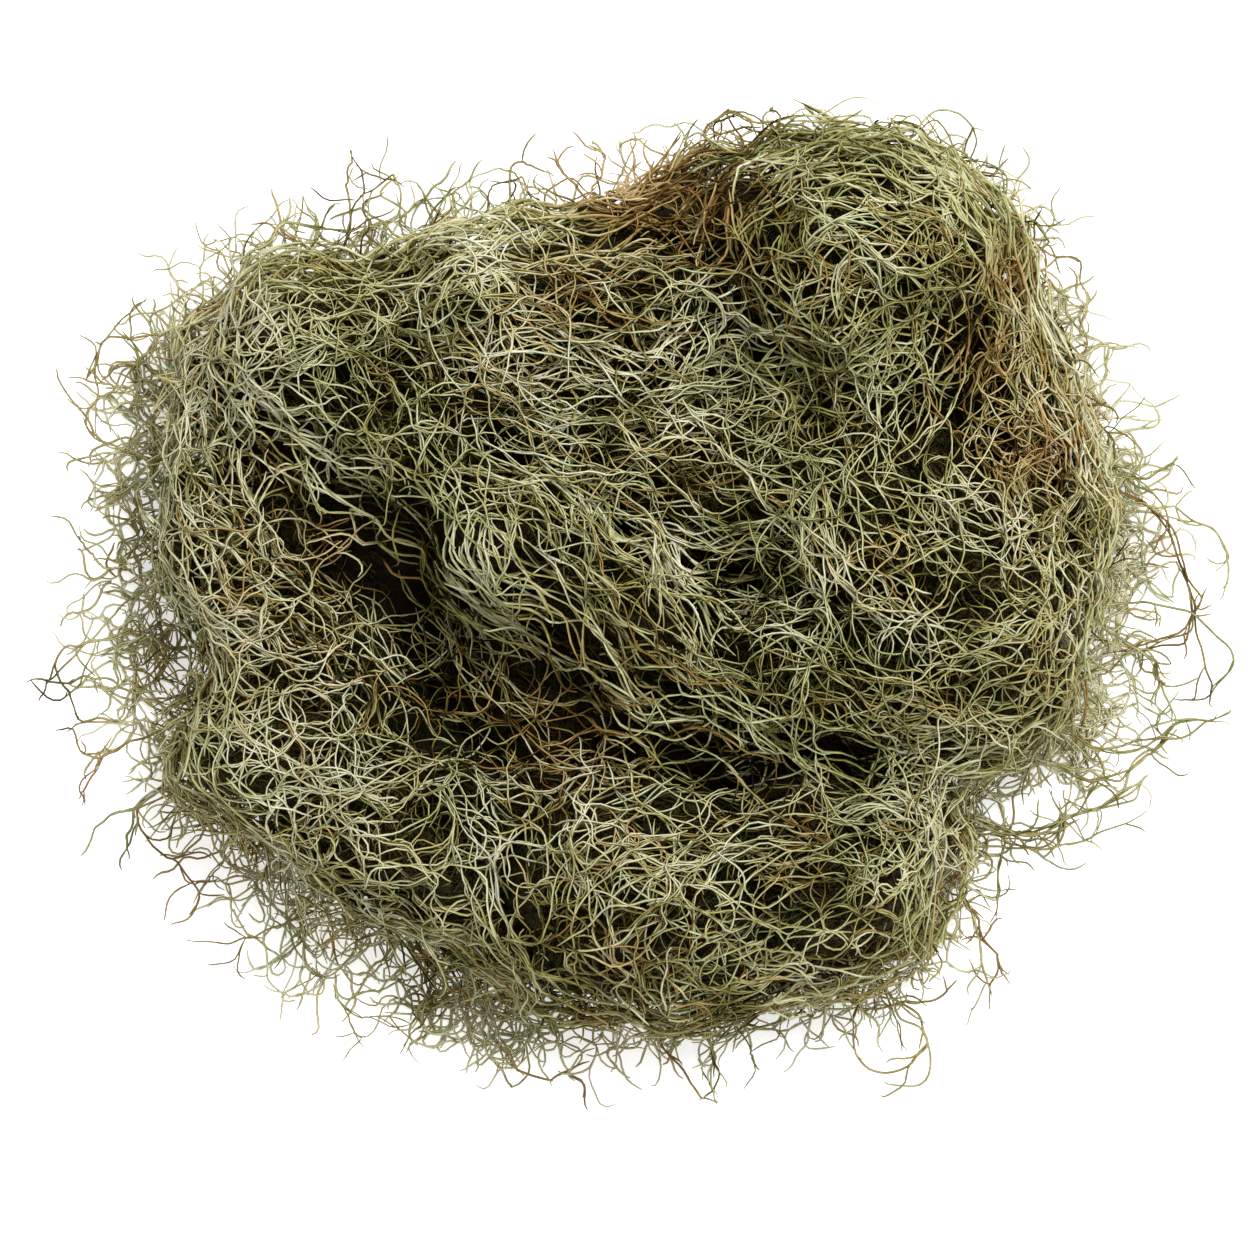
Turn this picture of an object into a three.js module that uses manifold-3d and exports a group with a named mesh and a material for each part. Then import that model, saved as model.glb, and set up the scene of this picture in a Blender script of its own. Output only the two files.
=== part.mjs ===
// A bunch of Spanish moss, lying on a flat surface: wads of wiry, curling strands that grew into each
// other. Each wad is one mesh: a packed core, with strands that arch over it, strands that fly out at
// its edge, and the long strays. Dead brown strands hold together in wads of their own.
// Millimetres, +Z up. The origin lies on the surface, under the middle of the bunch.
import * as THREE from "three";
import { mergeVertices } from "three/addons/utils/BufferGeometryUtils.js";
import Module from "manifold-3d";

// ---- driving dimensions ----------------------------------------------------------------------------
const STRAND_RADIUS = 1.05; // centre to corner of a strand's three-sided section
const STRAND_SIDES = 3;
const CORE_INSET = 6; // depth of a packed core's face under the outermost strands
const CORE_LUMP = 2.2; // how far a core's face swells and dips
const LARGE_PUFF = 43; // half width from which a puff's core is cut into smaller faces
const SINK = 4; // depth to which a strand's root goes into its core
const LIFT = [2.2, 6.6]; // least and most height of an arching strand over its core
const ARCH_LENGTH = [44, 84]; // least and most length of an arching strand
const FLY_LENGTH = [16, 34]; // least and most reach of a strand that flies out at the edge
const STEP = 11; // length of one straight stretch of a strand
const BEND = 0.045; // most curvature of a strand, in radians for each millimetre
const STRAY_ANGLE = 0.75; // most angle between a strand and the lay of its wad, in radians
const NODE_GAP = 0.35; // clearance between two wads' cores
const STRAND_GAP = 1.0; // clearance between strands of two wads
const BLEND = 7; // width over which two puffs of a wad flow together
const HALF_LENGTH = 150; // how far from the middle a strand at the edge may reach, along X
const HALF_WIDTH = 123; // and along Y
const SEED = 20;

const SAGE = "#8f8b64"; // live strands
const SAGE_PALE = "#9d9a74"; // live strands that lie on top, bleached
const SAGE_DEEP = "#6f6b45"; // live strands low down
const BROWN = "#5d4526"; // dead strands
const BROWN_DARK = "#3d2f1c";

// A puff is a soft lump: centre x, y, z, half width, half depth, half height, turn about Z in degrees.
// lay is the direction that the wad is combed in, in degrees from +X, and whirl turns the lay around the
// wad's own middle, from 0, straight, to 1, round and round.
const WADS = [
  {
    name: "drape_middle",
    colour: SAGE_PALE,
    lay: -58,
    whirl: 0,
    arches: 17,
    flies: 0,
    puffs: [
      [-28, 20, 31, 34, 24, 51, -12],
      [-2, 0, 31, 37, 23, 51, -38],
      [30, -18, 25, 32, 19, 41, -28],
    ],
  },
  {
    name: "knot_back_right",
    colour: SAGE,
    lay: -8,
    whirl: 0.6,
    arches: 21,
    flies: 5,
    puffs: [[60, 86, 35, 45, 38, 57, -12]],
  },
  {
    name: "mound_right",
    colour: SAGE,
    lay: -35,
    whirl: 0.5,
    arches: 25,
    flies: 5,
    puffs: [
      [62, 28, 29, 44, 38, 47, 0],
      [88, -6, 25, 36, 38, 41, 0],
      [50, -18, 27, 38, 28, 45, -10],
    ],
  },
  {
    name: "saddle_middle",
    colour: SAGE,
    lay: -14,
    whirl: 0,
    arches: 11,
    flies: 0,
    puffs: [
      [-16, 50, 25, 40, 25, 41, -6],
      [24, 29, 24, 42, 31, 39, -20],
    ],
  },
  {
    name: "swath_back",
    colour: SAGE_PALE,
    lay: -6,
    whirl: 0,
    arches: 13,
    flies: 5,
    puffs: [
      [-40, 77, 26, 30, 23, 42, 5],
      [0, 77, 27, 36, 26, 45, -8],
    ],
  },
  {
    name: "clump_back_left",
    colour: SAGE,
    lay: -40,
    whirl: 0.9,
    arches: 15,
    flies: 4,
    puffs: [
      [-79, 65, 26, 33, 28, 42, 10],
      [-56, 43, 25, 31, 25, 41, -10],
    ],
  },
  {
    name: "roll_left",
    colour: SAGE_PALE,
    lay: -82,
    whirl: 0,
    arches: 11,
    flies: 6,
    puffs: [
      [-110, 56, 18, 16, 29, 29, 0],
      [-111, 20, 20, 17, 30, 32, 5],
      [-94, -8, 20, 29, 18, 32, -42],
    ],
  },
  {
    name: "mat_front_left",
    colour: SAGE_DEEP,
    lay: -30,
    whirl: 0.5,
    arches: 16,
    flies: 8,
    puffs: [
      [-86, -36, 22, 38, 32, 36, -10],
      [-57, -57, 22, 38, 30, 36, -20],
    ],
  },
  {
    name: "swirl_front",
    colour: SAGE,
    lay: -10,
    whirl: 0.85,
    arches: 24,
    flies: 8,
    puffs: [
      [4, -66, 26, 46, 35, 42, 0],
      [48, -62, 25, 42, 34, 41, -5],
      [14, -86, 20, 48, 22, 32, 0],
    ],
  },
  {
    name: "rim_right",
    colour: SAGE_DEEP,
    lay: -84,
    whirl: 0,
    arches: 6,
    flies: 6,
    puffs: [
      [104, 60, 16, 13, 32, 26, 8],
      [112, 24, 17, 18, 32, 27, 4],
    ],
  },
  {
    name: "brown_right",
    colour: BROWN,
    lay: -82,
    whirl: 0,
    arches: 6,
    flies: 0,
    puffs: [[95, 56, 21, 17, 38, 35, 8]],
  },
  {
    name: "brown_back",
    colour: BROWN,
    lay: 15,
    whirl: 0,
    arches: 6,
    flies: 2,
    puffs: [[17, 98, 19, 30, 17, 31, 12]],
  },
  {
    name: "brown_middle",
    colour: BROWN_DARK,
    lay: -14,
    whirl: 0,
    arches: 7,
    flies: 0,
    puffs: [
      [-22, -20, 17, 43, 31, 27, -14],
      [26, -38, 16, 34, 16, 26, -6],
    ],
  },
  {
    name: "brown_left",
    colour: BROWN_DARK,
    lay: -50,
    whirl: 0,
    arches: 6,
    flies: 0,
    puffs: [
      [-82, 24, 12, 30, 26, 19, -30],
      [-60, -8, 13, 30, 28, 20, -50],
    ],
  },
];

// The long strays reach the furthest, so they set the size of the whole bunch. Each runs through points
// from inside its wad's core to its free tip, or back to the core as a loop.
const STRAYS = [
  { wad: "mound_right", points: [[98, -20, 20], [118, -34, 15], [133, -34, 10], [145, -28, 6], [151.4, -24, 3]] },
  { wad: "rim_right", points: [[117, 24, 18], [131, 27, 16], [144, 22, 12], [151.4, 12, 8], [148, 2, 5]] },
  { wad: "mound_right", points: [[104, -4, 18], [126, 2, 17], [142, -2, 13], [151.4, -12, 8], [147, -20, 4]] },
  { wad: "swirl_front", points: [[66, -60, 18], [88, -60, 17], [106, -59, 12], [120, -56, 8], [130, -51, 4]] },
  { wad: "roll_left", points: [[-102, 16, 16], [-124, 4, 14], [-137, -10, 9], [-146, -17, 5], [-151.4, -18, 2]] },
  { wad: "mat_front_left", points: [[-100, -34, 16], [-118, -44, 12], [-128, -51, 7], [-135, -55, 3]] },
  { wad: "clump_back_left", points: [[-80, 76, 24], [-70, 95, 25], [-67, 106, 21], [-69, 116, 15]] },
  { wad: "knot_back_right", points: [[44, 100, 58], [36, 118, 50], [27, 124.8, 43], [18, 121, 36]] },
  { wad: "knot_back_right", points: [[66, 108, 48], [72, 121, 42], [80, 124.8, 34], [90, 119, 28]] },
  { wad: "swirl_front", points: [[10, -92, 14], [8, -109, 11], [14, -117, 7], [22, -124.8, 3]] },
  { wad: "swirl_front", points: [[56, -80, 16], [66, -99, 12], [76, -109, 8], [73, -119, 4], [64, -118, 2]] },
  { wad: "mat_front_left", points: [[-70, -60, 14], [-84, -76, 11], [-98, -84, 7], [-112, -82, 3]] },
  { wad: "mat_front_left", points: [[-50, -62, 14], [-54, -84, 12], [-50, -100, 8], [-58, -112, 3]] },
];

// ---- seeded random numbers -------------------------------------------------------------------------
let randomState = SEED;
function random() {
  randomState = (randomState + 0x6d2b79f5) | 0;
  let t = Math.imul(randomState ^ (randomState >>> 15), 1 | randomState);
  t = (t + Math.imul(t ^ (t >>> 7), 61 | t)) ^ t;
  return ((t ^ (t >>> 14)) >>> 0) / 4294967296;
}

function between(low, high) {
  return low + (high - low) * random();
}

// ---- the form of a wad: how far a point lies outside its outermost strands -------------------------
// Roughly the distance from an ellipsoid, negative inside it.
function puffDistance(point, puff) {
  const [x, y, z, halfWidth, halfDepth, halfHeight, turn] = puff;
  const angle = THREE.MathUtils.degToRad(turn);
  const dx = point.x - x;
  const dy = point.y - y;
  const along = dx * Math.cos(angle) + dy * Math.sin(angle);
  const across = dy * Math.cos(angle) - dx * Math.sin(angle);
  const up = point.z - z;
  const scaled = Math.hypot(along / halfWidth, across / halfDepth, up / halfHeight);
  const slope = Math.hypot(along / halfWidth ** 2, across / halfDepth ** 2, up / halfHeight ** 2);
  return slope < 1e-9 ? -Math.min(halfWidth, halfDepth, halfHeight) : (scaled * (scaled - 1)) / slope;
}

function wadDistance(point, wad) {
  let distance = Infinity;
  for (const puff of wad.puffs) {
    const next = puffDistance(point, puff);
    if (distance === Infinity) {
      distance = next;
      continue;
    }
    const share = THREE.MathUtils.clamp(0.5 + (0.5 * (distance - next)) / BLEND, 0, 1);
    distance = THREE.MathUtils.lerp(distance, next, share) - BLEND * share * (1 - share);
  }
  return distance;
}

function wadNormal(point, wad) {
  const reach = 0.5;
  const slopes = ["x", "y", "z"].map((axis) => {
    const ahead = point.clone();
    const behind = point.clone();
    ahead[axis] += reach;
    behind[axis] -= reach;
    return wadDistance(ahead, wad) - wadDistance(behind, wad);
  });
  return new THREE.Vector3(...slopes).normalize();
}

// Moves a point along the wad's normal until it lies at the wanted distance.
function settle(point, wad, wanted) {
  const settled = point.clone();
  for (let i = 0; i < 4; i++) {
    const off = wanted - wadDistance(settled, wad);
    settled.addScaledVector(wadNormal(settled, wad), off);
  }
  return settled;
}

// ---- solids ----------------------------------------------------------------------------------------
const wasm = await Module();
wasm.setup();

function solidFrom(geometry) {
  geometry.deleteAttribute("normal");
  geometry.deleteAttribute("uv");
  const merged = mergeVertices(geometry, 1e-4);
  return new wasm.Manifold(
    new wasm.Mesh({
      numProp: 3,
      vertProperties: merged.attributes.position.array,
      triVerts: new Uint32Array(merged.index.array),
    }),
  );
}

function geometryFrom(solid) {
  const mesh = solid.getMesh();
  const geometry = new THREE.BufferGeometry();
  geometry.setAttribute("position", new THREE.BufferAttribute(mesh.vertProperties, 3));
  geometry.setIndex(new THREE.BufferAttribute(mesh.triVerts, 1));
  geometry.computeVertexNormals();
  return geometry;
}

// The largest closed body of a solid: loose scraps and sealed hollows go.
function mainBody(solid) {
  return solid.decompose().reduce((largest, body) => (body.volume() > largest.volume() ? body : largest));
}

const CEILING = 200;
const aboveSurface = solidFrom(new THREE.BoxGeometry(500, 500, CEILING).translate(0, 0, CEILING / 2));

// Slow swells and dips, from three waves that run in different directions.
function lump(point) {
  const waves =
    Math.sin(point.x * 0.21 + point.y * 0.12) +
    Math.sin(point.y * 0.24 - point.z * 0.17 + 1.3) +
    Math.sin(point.z * 0.26 + point.x * 0.15 + 2.1);
  return (CORE_LUMP * waves) / 3;
}

// A puff's packed inside: a lumpy ball, smaller than the puff by the inset.
function puffCore(puff, inset) {
  const [x, y, z, halfWidth, halfDepth, halfHeight, turn] = puff;
  const geometry = new THREE.IcosahedronGeometry(1, halfWidth < LARGE_PUFF ? 1 : 2);
  geometry.scale(halfWidth - inset, halfDepth - inset, halfHeight - inset);
  geometry.rotateZ(THREE.MathUtils.degToRad(turn));
  geometry.translate(x, y, z);
  const position = geometry.attributes.position;
  const centre = new THREE.Vector3(x, y, z);
  const corner = new THREE.Vector3();
  for (let i = 0; i < position.count; i++) {
    corner.fromBufferAttribute(position, i);
    const outward = corner.clone().sub(centre).normalize();
    corner.addScaledVector(outward, lump(corner));
    position.setXYZ(i, corner.x, corner.y, corner.z);
  }
  return solidFrom(geometry);
}

function wadCore(wad, inset) {
  const balls = wad.puffs.map((puff) => puffCore(puff, inset));
  return balls.reduce((whole, ball) => whole.add(ball)).intersect(aboveSurface);
}

const section = new THREE.Shape(
  Array.from({ length: STRAND_SIDES }, (_, i) => {
    const angle = (2 * Math.PI * i) / STRAND_SIDES;
    return new THREE.Vector2(STRAND_RADIUS * Math.cos(angle), STRAND_RADIUS * Math.sin(angle));
  }),
);

function strandSolid(points) {
  const path = new THREE.CatmullRomCurve3(points, false, "centripetal");
  const steps = Math.max(3, Math.round(path.getLength() / STEP));
  return solidFrom(new THREE.ExtrudeGeometry(section, { steps, extrudePath: path, bevelEnabled: false }));
}

// ---- how strands grow ------------------------------------------------------------------------------
// The direction in plan that a wad is combed in at a point.
function layAt(point, wad) {
  const straight = THREE.MathUtils.degToRad(wad.lay);
  const [middleX, middleY] = wad.puffs[0];
  const round = Math.atan2(point.y - middleY, point.x - middleX) - Math.PI / 2;
  const direction = new THREE.Vector3(Math.cos(straight), Math.sin(straight), 0).multiplyScalar(1 - wad.whirl);
  direction.x += wad.whirl * Math.cos(round);
  direction.y += wad.whirl * Math.sin(round);
  return direction.lengthSq() < 1e-6 ? new THREE.Vector3(1, 0, 0) : direction.normalize();
}

// A point where a strand can root: on the wad's own outside, clear of every other wad.
function rootPoint(wad, lowest, highest, leastUp) {
  for (let tries = 0; tries < 400; tries++) {
    const [x, y, z, halfWidth, halfDepth, halfHeight] = wad.puffs[Math.floor(random() * wad.puffs.length)];
    const around = 2 * Math.PI * random();
    const up = between(leastUp, 1);
    const flat = Math.sqrt(1 - up * up);
    const point = new THREE.Vector3(
      x + halfWidth * flat * Math.cos(around),
      y + halfDepth * flat * Math.sin(around),
      z + halfHeight * up,
    );
    const settled = settle(point, wad, -CORE_INSET);
    if (settled.z > lowest && settled.z < highest && isOpen(settled, wad, CORE_INSET * 0.4)) return settled;
  }
  return null;
}

// Whether a point is outside every other wad's core by the clearance given, and above the surface.
function isOpen(point, wad, clearance) {
  if (point.z < STRAND_RADIUS) return false;
  return WADS.every((other) => other === wad || wadDistance(point, other) > -CORE_INSET + clearance);
}

// Where the strands already grown run, to keep them apart. Inside a core they may meet.
const grown = [];

function samplesOf(points) {
  return new THREE.CatmullRomCurve3(points, false, "centripetal").getPoints(points.length * 5);
}

function isClear(samples, wad) {
  const outside = samples.filter((sample) => wadDistance(sample, wad) > -CORE_INSET - CORE_LUMP);
  return grown.every((strand) => {
    const room = 2 * STRAND_RADIUS + (strand.wad === wad ? 0 : STRAND_GAP);
    return outside.every((sample) => strand.samples.every((old) => old.distanceTo(sample) > room));
  });
}

function keep(points, wad) {
  const samples = samplesOf(points);
  grown.push({ wad, samples: samples.filter((sample) => wadDistance(sample, wad) > -CORE_INSET - CORE_LUMP) });
  return strandSolid(points);
}

function onSurface(point) {
  point.z = Math.max(point.z, STRAND_RADIUS);
  return point;
}

// A strand that leaves the core, arches over it along the lay, and goes back in.
function archPoints(wad) {
  const start = rootPoint(wad, 6, Infinity, 0.1);
  if (!start) return null;
  const count = Math.round(between(...ARCH_LENGTH) / STEP);
  const lift = between(...LIFT);
  const bend = between(-BEND, BEND);
  let swerve = between(-STRAY_ANGLE, STRAY_ANGLE);
  let point = settle(start, wad, -CORE_INSET + lift * 0.6);
  const points = [settle(start, wad, -CORE_INSET - SINK), point];
  for (let i = 1; i < count; i++) {
    swerve += bend * STEP;
    const normal = wadNormal(point, wad);
    const direction = layAt(point, wad).applyAxisAngle(new THREE.Vector3(0, 0, 1), swerve);
    direction.addScaledVector(normal, -direction.dot(normal)).normalize();
    const next = settle(point.clone().addScaledVector(direction, STEP), wad, -CORE_INSET + lift);
    if (!isOpen(next, wad, 2.4 + CORE_LUMP) || next.z < 2) break;
    points.push(next);
    point = next;
  }
  if (points.length < 4) return null;
  points.push(settle(points.pop(), wad, -CORE_INSET - SINK));
  const end = points[points.length - 1];
  return isOpen(end, wad, 0) ? points.map(onSurface) : null;
}

// A strand that leaves the wad at the edge of the bunch and droops towards the surface.
function flyPoints(wad) {
  const start = rootPoint(wad, 5, 44, -0.8);
  if (!start) return null;
  const outward = wadNormal(start, wad).setZ(0).normalize();
  const reach = between(...FLY_LENGTH);
  const swerve = between(-1.2, 1.2);
  const bend = between(-BEND, BEND) * 1.6;
  const points = [settle(start, wad, -CORE_INSET - SINK), start.clone().addScaledVector(outward, 3)];
  let point = points[1];
  const count = Math.max(3, Math.round((CORE_INSET + reach) / (STEP * 0.8)));
  for (let i = 1; i <= count; i++) {
    const turn = swerve * (i / count) + bend * STEP * i;
    const direction = outward.clone().applyAxisAngle(new THREE.Vector3(0, 0, 1), turn);
    direction.z = -0.75 * (i / count) * Math.min(1, point.z / 12);
    point = point.clone().addScaledVector(direction.normalize(), STEP * 0.8);
    points.push(point);
  }
  const free = points.slice(2);
  const within = free.every((p) => Math.abs(p.x) < HALF_LENGTH && Math.abs(p.y) < HALF_WIDTH);
  const outside = WADS.every((other) => free.slice(1).every((p) => wadDistance(p, other) > 1));
  return within && outside && free.every((p) => isOpen(p, wad, 3)) ? points.map(onSurface) : null;
}

function grow(wad, wanted, makePoints) {
  const strands = [];
  for (let tries = 0; tries < wanted * 60 && strands.length < wanted; tries++) {
    const points = makePoints(wad);
    if (points && isClear(samplesOf(points), wad)) strands.push(keep(points, wad));
  }
  return strands;
}

function strayStrands(wad) {
  const own = STRAYS.filter((stray) => stray.wad === wad.name);
  return own.map((stray) => keep(stray.points.map((place) => new THREE.Vector3(...place)), wad));
}

// ---- the bunch -------------------------------------------------------------------------------------
const bunch = new THREE.Group();
const strandsOf = new Map(WADS.map((wad) => [wad, strayStrands(wad)]));
for (const wad of WADS) strandsOf.get(wad).push(...grow(wad, wad.flies, flyPoints));
for (const wad of WADS) strandsOf.get(wad).push(...grow(wad, wad.arches, archPoints));

let taken = null; // the cores placed so far, each a little larger
for (const wad of WADS) {
  let core = wadCore(wad, CORE_INSET);
  if (taken) core = mainBody(core.subtract(taken));
  const keepOut = wadCore(wad, CORE_INSET - NODE_GAP);
  taken = taken ? taken.add(keepOut) : keepOut;
  const whole = strandsOf.get(wad).reduce((body, strand) => body.add(strand), core);
  const mesh = new THREE.Mesh(
    geometryFrom(mainBody(whole)),
    new THREE.MeshStandardMaterial({ color: wad.colour, roughness: 0.85, metalness: 0 }),
  );
  mesh.name = wad.name;
  bunch.add(mesh);
}

export default bunch;
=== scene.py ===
"""A bunch of Spanish moss on a white surface, seen from above.

Each wad of the bunch is one mesh: a dark lumpy inside, whose near-black colour is painted shade of the deep
tangle, and many fine curling strands that follow the wad's surface in layers. Stems come first, leaves
branch off them, combed swaths lie on top, a see-through net runs round the foot, long strays reach out of
it, and plain threads cover the outer flanks. At the end strands that lie close are drawn together. Lengths
in this script are millimetres in the frame of the part, and become metres where a mesh is made.
"""

import collections
import functools
import math

import bmesh
import bpy
import numpy as np
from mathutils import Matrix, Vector


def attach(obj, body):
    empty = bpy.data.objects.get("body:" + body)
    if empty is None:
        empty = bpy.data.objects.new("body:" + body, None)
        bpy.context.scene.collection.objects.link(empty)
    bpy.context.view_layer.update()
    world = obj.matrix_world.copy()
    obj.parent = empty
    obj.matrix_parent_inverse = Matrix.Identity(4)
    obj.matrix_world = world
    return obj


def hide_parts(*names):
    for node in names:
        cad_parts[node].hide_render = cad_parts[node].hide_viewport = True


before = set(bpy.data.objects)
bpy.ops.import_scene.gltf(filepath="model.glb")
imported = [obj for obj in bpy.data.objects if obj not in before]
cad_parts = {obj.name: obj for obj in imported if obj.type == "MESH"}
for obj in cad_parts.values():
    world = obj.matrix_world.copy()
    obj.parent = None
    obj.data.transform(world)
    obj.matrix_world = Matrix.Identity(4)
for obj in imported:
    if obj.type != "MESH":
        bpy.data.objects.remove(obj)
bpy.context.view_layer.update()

# ---- sizes -----------------------------------------------------------------------------------------
MM = 0.001
SEED = 7
SIDES = 3  # of each strand
FLOOR_GAP = 0.5  # the lowest that a strand's middle line runs
CORE_DEPTH = 10.5  # how deep the dark inside lies under the outermost strands
REACH_X = 153.0  # no flyaway goes further out than this
REACH_Y = 127.0
FULL_TURN = 2 * math.pi
PICTURE_SIZE = 1254  # the picture's width and height, in pixels
PIXEL = 0.25  # what one pixel of the picture covers
ORIGIN_PIXEL = (628.5, 610.5)  # where the part's origin lies in the picture
PICTURE_HEIGHT = 25.0  # the height above the floor at which PIXEL holds
CAMERA_HEIGHT = 4000.0
SENSOR = 36.0

# ---- the form: repeats the wads of part.mjs --------------------------------------------------------
# A puff: centre x, y, z, half width, half depth, half height, turn about Z in degrees.
# tone is how pale the live strands are, warmth how many are brown, curl how tightly they bend, and crowd
# how many more of them start there than elsewhere.
WADS = {
    "drape_middle": dict(
        slot="pale_sage", tone=0.56, warmth=0.05, curl=0.7,
        puffs=[(-28, 20, 31, 34, 24, 51, -12), (-2, 0, 31, 37, 23, 51, -38), (30, -18, 25, 32, 19, 41, -28)],
    ),
    "knot_back_right": dict(
        slot="sage", tone=0.53, warmth=0.08, curl=0.9, crowd=1.4,
        puffs=[(60, 86, 35, 45, 38, 57, -12)],
    ),
    "mound_right": dict(
        slot="sage", tone=0.54, warmth=0.08, curl=1.0,
        puffs=[(62, 28, 29, 44, 38, 47, 0), (88, -6, 25, 36, 38, 41, 0), (50, -18, 27, 38, 28, 45, -10)],
    ),
    "saddle_middle": dict(
        slot="sage", tone=0.54, warmth=0.10, curl=1.0,
        puffs=[(-16, 50, 25, 40, 25, 41, -6), (24, 29, 24, 42, 31, 39, -20)],
    ),
    "swath_back": dict(
        slot="pale_sage", tone=0.58, warmth=0.07, curl=0.9, crowd=1.2,
        puffs=[(-40, 77, 26, 30, 23, 42, 5), (0, 77, 27, 36, 26, 45, -8)],
    ),
    "clump_back_left": dict(
        slot="sage", tone=0.62, warmth=0.02, curl=1.2,
        puffs=[(-79, 65, 26, 33, 28, 42, 10), (-56, 43, 25, 31, 25, 41, -10)],
    ),
    "roll_left": dict(
        slot="pale_sage", tone=0.66, warmth=0.05, curl=1.3,
        puffs=[(-110, 56, 18, 16, 29, 29, 0), (-111, 20, 20, 17, 30, 32, 5), (-94, -8, 20, 29, 18, 32, -42)],
    ),
    "mat_front_left": dict(
        slot="deep_sage", tone=0.64, warmth=0.03, curl=1.2,
        puffs=[(-86, -36, 22, 38, 32, 36, -10), (-57, -57, 22, 38, 30, 36, -20)],
    ),
    "swirl_front": dict(
        slot="sage", tone=0.56, warmth=0.07, curl=1.1,
        puffs=[(4, -66, 26, 46, 35, 42, 0), (48, -62, 25, 42, 34, 41, -5), (14, -86, 20, 48, 22, 32, 0)],
    ),
    "rim_right": dict(
        slot="deep_sage", tone=0.68, warmth=0.06, curl=1.1,
        puffs=[(104, 60, 16, 13, 32, 26, 8), (112, 24, 17, 18, 32, 27, 4)],
    ),
    "brown_right": dict(
        slot="dead_brown", tone=0.42, warmth=0.50, curl=1.1,
        puffs=[(95, 56, 21, 17, 38, 35, 8)],
    ),
    "brown_back": dict(
        slot="dead_brown", tone=0.48, warmth=0.55, curl=1.1, crowd=1.8,
        puffs=[(17, 98, 19, 30, 17, 31, 12)],
    ),
    "brown_middle": dict(
        slot="dark_brown", tone=0.50, warmth=0.30, curl=1.0,
        puffs=[(-22, -20, 17, 43, 31, 27, -14), (26, -38, 16, 34, 16, 26, -6)],
    ),
    "brown_left": dict(
        slot="dark_brown", tone=0.52, warmth=0.20, curl=1.0,
        puffs=[(-82, 24, 12, 30, 26, 19, -30), (-60, -8, 13, 30, 28, 20, -50)],
    ),
}

# Low dark pads that close the inside of the bunch between its puffs, each in a wad's mesh, near black as
# painted shade like the rest of the dark inside.
BEDS = {
    "brown_middle": [(-14, -22, 6, 92, 62, 17, -8), (22, -58, 6, 62, 40, 14, -4)],
    "brown_left": [(-62, 22, 6, 47, 54, 14, 12)],
    "saddle_middle": [(20, 56, 6, 92, 42, 22, 4)],
    "mound_right": [(52, 10, 6, 62, 58, 22, 0)],
    "roll_left": [(-95, 34, 5, 12, 42, 12, 0)],
    "mat_front_left": [(-88, -18, 5, 16, 24, 12, 0), (-50, -60, 5, 44, 19, 12, -25)],
    "swath_back": [(-60, 70, 5, 38, 20, 12, 10), (-14, 82, 5, 34, 12, 14, 8)],
    "swirl_front": [(-4, -83, 5, 46, 14, 11, -4)],
    "brown_back": [(16, 96, 5, 26, 9, 12, 17)],
    "knot_back_right": [(60, 87, 5, 33, 28, 22, -12)],
    "rim_right": [(87, 38, 5, 16, 42, 12, 0)],
}

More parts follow.
